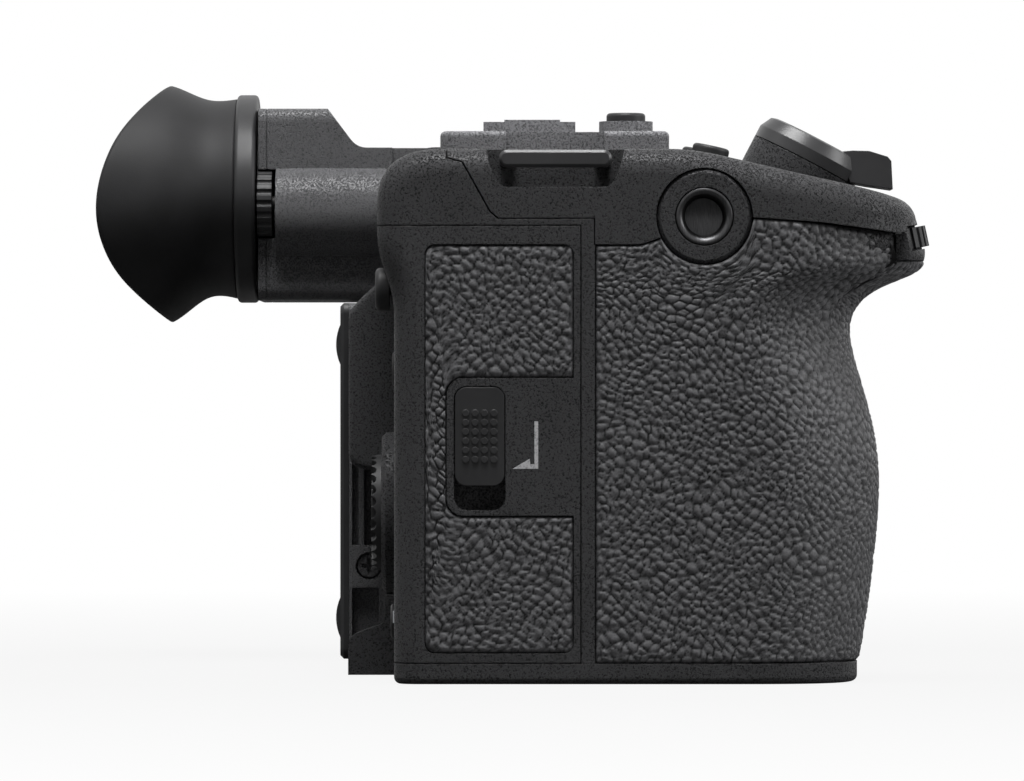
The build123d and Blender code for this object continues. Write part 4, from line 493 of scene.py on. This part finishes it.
def rounded_rail(corners, radius, counts):
    """Line through the corners, each inner corner turned on an arc of that radius; counts gives the
    number of points on each side and arc."""
    corners = np.asarray(corners, dtype=float)
    runs = []
    start = corners[0]
    for k in range(1, len(corners) - 1):
        side_count, arc_count = counts[2 * k - 2], counts[2 * k - 1]
        to, off = corners[k] - corners[k - 1], corners[k + 1] - corners[k]
        to, off = to / np.linalg.norm(to), off / np.linalg.norm(off)
        arc_start = corners[k] - radius * to
        runs.append(start + (arc_start - start) * np.linspace(0, 1, side_count, endpoint=False)[:, None])
        angle = np.linspace(0, np.pi / 2, arc_count, endpoint=False)[:, None]
        runs.append(arc_start + radius * (np.sin(angle) * to + (1 - np.cos(angle)) * off))
        start = corners[k] + radius * off
    runs.append(start + (corners[-1] - start) * np.linspace(0, 1, counts[-1])[:, None])
    return np.concatenate(runs)


counts = (76, 8, 120, 8, 77)
outer_rail = rounded_rail([(6.4, 4.35), (26.5, 4.35), (26.5, 59.75), (6.4, 59.75)], 1.3, counts)
inner_rail = rounded_rail([(6.4, 22.8), (23.75, 22.8), (23.75, 41.85), (6.4, 41.85)], 2.4, counts)
between = np.linspace(0, 1, 73)[:, None, None]
door_face = inner_rail[None] + (outer_rail - inner_rail)[None] * between
leather_sheet(
    "door_leather_inlay",
    np.dstack([np.full(door_face.shape[:2], near_x), door_face[..., 0], door_face[..., 1]]),
    door_face * np.array([-1.0, 1.0]), 0.8, "card_door", "door_inlay")


# Eyecup

def eyecup():
    """Oval cup whose half width, half height and drop follow splines along its length, cut where the
    rim's curve in the side view meets it: outer wall, rolled lip, inner wall and seat, closed on itself."""
    eye_x, eye_z, hole_radius = 34.6, 68.6, 11.0
    depth = np.array([55.6, 60.0, 64.6, 70.0, 77.0])
    drop = np.array([0.0, 0.0, -0.7, -1.0, -1.1])
    half_w = np.array([20.0, 19.7, 21.3, 22.2, 22.8])
    half_h = np.array([14.9, 14.8, 17.3, 18.5, 19.3])
    rim_z = np.array([48.5, 51.6, 55.7, 60.4, 66.8, 73.0, 78.2, 82.9, 86.5])
    rim_y = np.array([63.6, 67.5, 71.8, 74.6, 75.8, 74.8, 72.5, 68.7, 64.8])
    angle = np.linspace(0, 2 * np.pi, 224, endpoint=False)

    def oval(y, inset):
        wide = spline_through(depth, half_w, y) - inset
        high = spline_through(depth, half_h, y) - inset
        z = eye_z + spline_through(depth, drop, y) + high * np.sin(angle)
        return np.stack([eye_x + wide * np.cos(angle), y + 0 * z, z], axis=-1)

    rim = np.full(len(angle), 70.0)
    for _ in range(12):
        rim = 0.5 * rim + 0.5 * (spline_through(rim_z, rim_y, oval(rim, 0.0)[:, 2]) - 0.7)
    share = np.linspace(0, 1, 40)[:, None]
    outer = oval(55.65 + share * (rim - 55.65), 0.0)
    thin = 1.8 - 0.5 * share[::-1]
    inner = oval(57.0 + share[::-1] * (rim - 57.0), thin)
    along = outer[-1] - outer[-2]
    along /= np.linalg.norm(along, axis=-1, keepdims=True)
    half = (outer[-1] - inner[0]) / 2
    roll = np.linspace(0, np.pi, 9)[1:-1, None, None]
    bulge = along * np.linalg.norm(half, axis=-1, keepdims=True)
    lip = (outer[-1] + inner[0]) / 2 + half * np.cos(roll) + bulge * np.sin(roll)
    hole_x, hole_z = eye_x + hole_radius * np.cos(angle), eye_z + hole_radius * np.sin(angle)
    hole = np.stack([hole_x, np.full(len(angle), 57.0), hole_z], axis=-1)
    floor = inner[-1] + (hole - inner[-1]) * np.linspace(0, 1, 6)[1:, None, None]
    seat = hole - np.array([0.0, 1.35, 0.0])
    back = seat + (outer[0] - seat) * np.linspace(0, 1, 6)[:-1, None, None]
    rows = np.concatenate([outer, lip, inner, floor, back])
    count = len(rows)
    faces = grid_faces(count + 1, len(angle), closed=True) % (count * len(angle))
    made = add_piece("eyecup_soft", rows.reshape(-1, 3), faces.tolist(), slots["eyecup_rubber"], "viewfinder")
    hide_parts("eyecup")


eyecup()


# Threaded inserts

def threaded_insert(name, mouth, outward, mouth_depth):
    """Turned insert: its profile runs round its axis, and the bore's radius also waves with the height
    plus the turn's share of the pitch, which makes the screw thread."""
    turns, rings, pitch, floor_depth, foot_depth = 72, 110, 1.27, 5.98, 6.98
    outward = np.asarray(outward, dtype=float)
    side = np.array([0.0, 1.0, 0.0]) if abs(outward[1]) < 0.5 else np.array([1.0, 0.0, 0.0])
    other = np.cross(outward, side)
    bore = np.linspace(-mouth_depth, -5.95, rings)
    profile = np.concatenate([
        [(4.0, -foot_depth), (4.0, -0.25), (3.75, 0.0), (2.66 + mouth_depth, 0.0)],
        np.stack([np.full(rings, 2.64), bore], axis=1), [(2.6, -floor_depth)],
    ])
    angle = np.linspace(0, 2 * np.pi, turns, endpoint=False)
    radius = np.repeat(profile[:, :1], turns, axis=1)
    height = profile[:, 1:]
    wave = 0.5 - 0.5 * np.cos(2 * np.pi * (height / pitch - angle[None, :] / (2 * np.pi)))
    inside = ease((height + 5.9) / 0.5) * ease((-mouth_depth - height) / 0.3)
    inside[:4] = 0.0
    radius = radius + 0.5 * wave * inside
    points = (
        np.asarray(mouth, dtype=float) + radius[..., None] * (
            np.cos(angle)[None, :, None] * side + np.sin(angle)[None, :, None] * other)
        + height[..., None] * outward
    )
    poles = np.asarray(mouth, dtype=float) + np.array([[-foot_depth], [-floor_depth]]) * outward
    rows = len(profile)
    first = np.arange(turns)
    after = np.roll(first, -1)
    faces = grid_faces(rows, turns, closed=True).tolist()
    faces += np.stack([np.full(turns, rows * turns), after, first], axis=1).tolist()
    last = (rows - 1) * turns
    faces += np.stack([first + last, after + last, np.full(turns, rows * turns + 1)], axis=1).tolist()
    points = np.concatenate([points.reshape(-1, 3), poles])
    made = add_piece(name, points, faces, slots["thread_steel"], "body")
    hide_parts("thread_inserts")


threaded_insert("side_insert", (near_x, front_face_y, side_thread_z), (-1, 0, 0), 0.75)
threaded_insert("far_side_insert", (56.7, -4.0, 57.0), (1, 0, 0), 0.75)
threaded_insert("rear_top_insert", (-44.0, 17.0, 75.8), (0, 0, 1), 0.75)
threaded_insert("middle_top_insert", (-21.0, 4.0, 75.8), (0, 0, 1), 0.75)
threaded_insert("tripod_insert", (0.0, 0.0, 0.0), (0, 0, -1), 0.05)


# Printed arrow beside the door latch

def printed_arrow():
    """Flat outline of a bent arrow, repeated a hair in front of the plate, with its edge closed."""
    outline = np.array([
        (11.65, 35.8), (11.13, 35.8), (11.13, 29.35), (14.62, 29.35),
        (12.3, 30.72), (12.2, 29.98), (11.65, 29.98),
    ])
    count = len(outline)
    front = np.column_stack([np.full(count, near_x - 0.02), outline])
    back = np.column_stack([np.full(count, near_x + 0.03), outline])
    i = np.arange(count)
    k = np.roll(i, -1)
    faces = [i.tolist(), (i[::-1] + count).tolist()]
    faces += np.stack([k, i, i + count, k + count], axis=1).tolist()
    points = np.concatenate([front, back])
    made = add_piece("printed_arrow", points, faces, printed_ink("pale_ink"), "card_door")
    made.data.polygons.foreach_set("use_smooth", np.zeros(len(made.data.polygons), dtype=bool))


printed_arrow()


# Studio: a white surround for the camera and for reflections, and lamps for everything else

def panel_light(name, place, aim, size, power):
    """Soft light panel that faces the point aim."""
    lamp = bpy.data.lights.new(name, "AREA")
    lamp.shape = "RECTANGLE"
    lamp.size, lamp.size_y = size
    lamp.energy = power
    made = bpy.data.objects.new(name, lamp)
    made.location = place
    made.rotation_euler = (Vector(aim) - Vector(place)).to_track_quat("-Z", "Y").to_euler()
    bpy.context.scene.collection.objects.link(made)


centre = (0.0, 0.015, 0.04)
panel_light("overhead", (-0.21, 0.06, 0.84), centre, (0.4, 0.4), 13.5)
panel_light("front_top", (-0.22, -0.90, 0.36), centre, (0.4, 0.4), 5.0)
panel_light("rear_top", (-0.30, 0.8, 0.6), centre, (0.3, 0.5), 0.6)

world = bpy.data.worlds.new("studio")
bpy.context.scene.world = world
world.use_nodes = True
tree = world.node_tree
sky = tree.nodes["Background"]
sky.inputs["Color"].default_value = (1, 1, 1, 1)
path = tree.nodes.new("ShaderNodeLightPath")
seen = None
for kind in ("Is Camera Ray", "Is Glossy Ray", "Is Transmission Ray"):
    joined = tree.nodes.new("ShaderNodeMath")
    joined.operation = "MAXIMUM"
    tree.links.new(path.outputs[kind], joined.inputs[0])
    joined.inputs[1].default_value = 0.0
    if seen:
        tree.links.new(seen, joined.inputs[1])
    seen = joined.outputs[0]
level = tree.nodes.new("ShaderNodeMapRange")
tree.links.new(seen, level.inputs["Value"])
level.inputs["To Min"].default_value = 0.02
level.inputs["To Max"].default_value = 1.0
tree.links.new(level.outputs["Result"], sky.inputs["Strength"])

floor_mesh = bpy.data.meshes.new("floor")
floor_reach = 3.0
floor_z = cad_box[0].z - 0.0001
floor_mesh.from_pydata(
    [(x * floor_reach, y * floor_reach, floor_z) for x, y in ((-1, -1), (1, -1), (1, 1), (-1, 1))],
    [], [(0, 1, 2, 3)],
)
floor = bpy.data.objects.new("floor", floor_mesh)
bpy.context.scene.collection.objects.link(floor)
pale = Finish("pale_floor", (0.12, 0.12, 0.12), 0.8, specular=0.05)
pale.rough(pale.noise(2.0), 0.75, 0.85)
away = pale.node("ShaderNodeVectorMath", Vector=pale.place)
away.operation = "LENGTH"
glow = pale.node("ShaderNodeEmission", Strength=1.0)
mixer = pale.tree.nodes.new("ShaderNodeMixShader")
light_path = pale.tree.nodes.new("ShaderNodeLightPath")
share = pale.tree.nodes.new("ShaderNodeMath")
share.operation = "MULTIPLY"
pale.tree.links.new(pale.span(away.outputs["Value"], 0.10, 0.45, 0.9, 1.0), share.inputs[0])
pale.tree.links.new(light_path.outputs["Is Camera Ray"], share.inputs[1])
pale.tree.links.new(share.outputs[0], mixer.inputs["Fac"])
pale.tree.links.new(pale.shader.outputs[0], mixer.inputs[1])
pale.tree.links.new(glow.outputs[0], mixer.inputs[2])
pale.tree.links.new(mixer.outputs[0], pale.tree.nodes["Material Output"].inputs["Surface"])
floor_mesh.materials.append(pale.material)

# Camera at the photograph's angle
camera = bpy.data.cameras.new("camera")
camera.lens = 284.2
camera.sensor_width = 36.0
camera.clip_start, camera.clip_end = 0.05, 20.0
viewpoint = bpy.data.objects.new("camera", camera)
viewpoint.location = (-1.173, 0.0147, 0.040)
viewpoint.rotation_euler = (math.radians(90), 0, math.radians(-90))
bpy.context.scene.collection.objects.link(viewpoint)
bpy.context.scene.camera = viewpoint
bpy.context.scene.view_settings.view_transform = "Standard"
